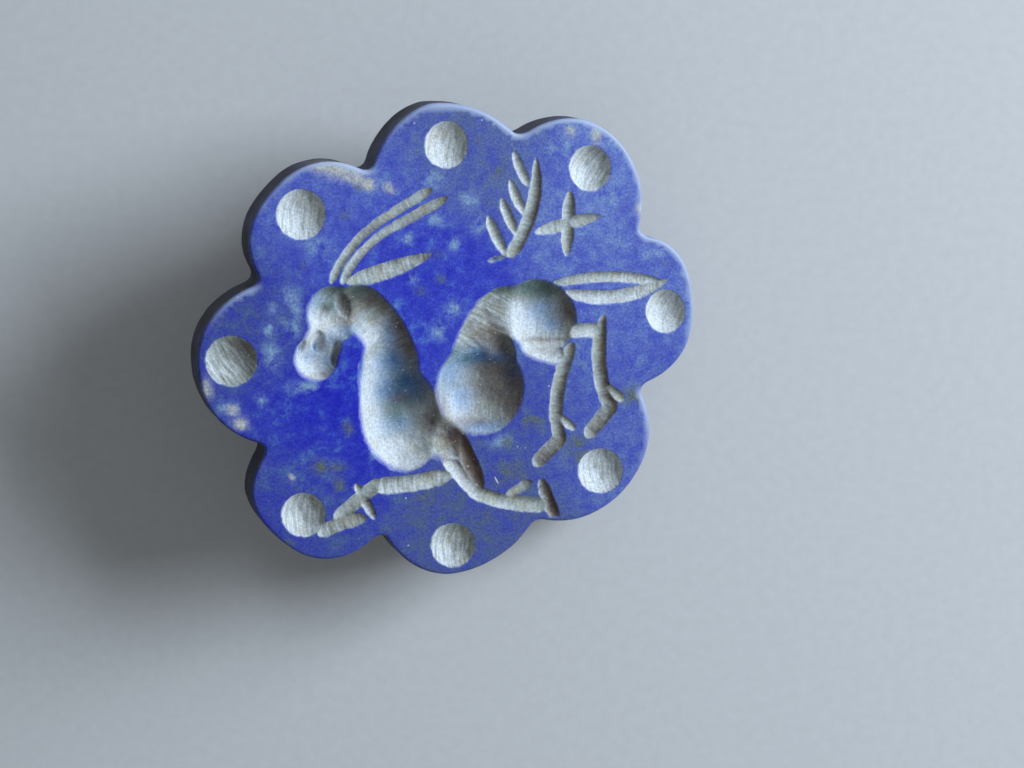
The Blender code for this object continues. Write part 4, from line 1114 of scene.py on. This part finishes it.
def paintedBoard():
    # a matt painted board, nearly even
    material, tree = newMaterial("paintedBoard")
    where = addNode(tree, "TexCoord", {}, "Object")
    fine = addNode(tree, "TexNoise", {
        "Vector": where, "Scale": 1 / (studio["tableGrain"] * mm), "Detail": 3.0})
    share = addNode(tree, "MapRange", {"Value": fine, **noiseSpan, "To Max": 0.4})
    paint, fleck = linear(studio["table"]), linear(studio["tableFleck"])
    colour = addNode(tree, "Mix", {0: share, 6: paint, 7: fleck}, 2, **asColour)
    shader = addNode(tree, "BsdfPrincipled", {
        "Base Color": colour, "Roughness": 0.85, "IOR": 1.45, "Specular IOR Level": 0.3})
    addNode(tree, "OutputMaterial", {"Surface": shader})
    return material


def paleTable():
    bm = bmesh.new()
    bmesh.ops.create_grid(bm, x_segments=8, y_segments=8, size=studio["tableHalf"])
    data = bpy.data.meshes.new("paleTable")
    bm.to_mesh(data)
    bm.free()
    table = bpy.data.objects.new("paleTable", data)
    bpy.context.scene.collection.objects.link(table)
    data.materials.append(paintedBoard())


def areaLight(name, direction, size, distance, power, colour):
    light = bpy.data.lights.new(name, "AREA")
    light.shape = "SQUARE"
    light.size, light.energy, light.color = size, power, linear(colour)[:3]
    lamp = bpy.data.objects.new(name, light)
    away = Vector(direction).normalized()
    lamp.location = away * distance
    lamp.rotation_euler = away.to_track_quat("Z", "Y").to_euler()
    bpy.context.scene.collection.objects.link(lamp)


print("stage: table, light and camera")
paleTable()
for name, settings in studio["lights"].items():
    areaLight(name, *settings)
world = bpy.data.worlds.new("studioSky")
bpy.context.scene.world = world
world.use_nodes = True
sky = world.node_tree.nodes["Background"].inputs
sky["Color"].default_value = linear(studio["skyColour"])
sky["Strength"].default_value = studio["skyStrength"]

camera = {
    "lens": 87.89, "sensor": 36.0,
    "tip": 0.0753,                        # sine of the camera's tip away from looking straight down
    "middle": (-4.293, 2.944, -178.366),  # the seal's middle, seen from the camera
}
eye = bpy.data.objects.new("sealCamera", bpy.data.cameras.new("sealCamera"))
bpy.context.scene.collection.objects.link(eye)
eye.data.lens, eye.data.sensor_width = camera["lens"], camera["sensor"]
eye.data.clip_start = 0.01
upright = math.sqrt(1 - camera["tip"] ** 2)
turn = Matrix(((1, 0, 0), (0, upright, -camera["tip"]), (0, camera["tip"], upright))).transposed()
spot = seat.translation - turn @ (Vector(camera["middle"]) * mm)
eye.matrix_world = Matrix.Translation(spot) @ turn.to_4x4()
bpy.context.scene.camera = eye
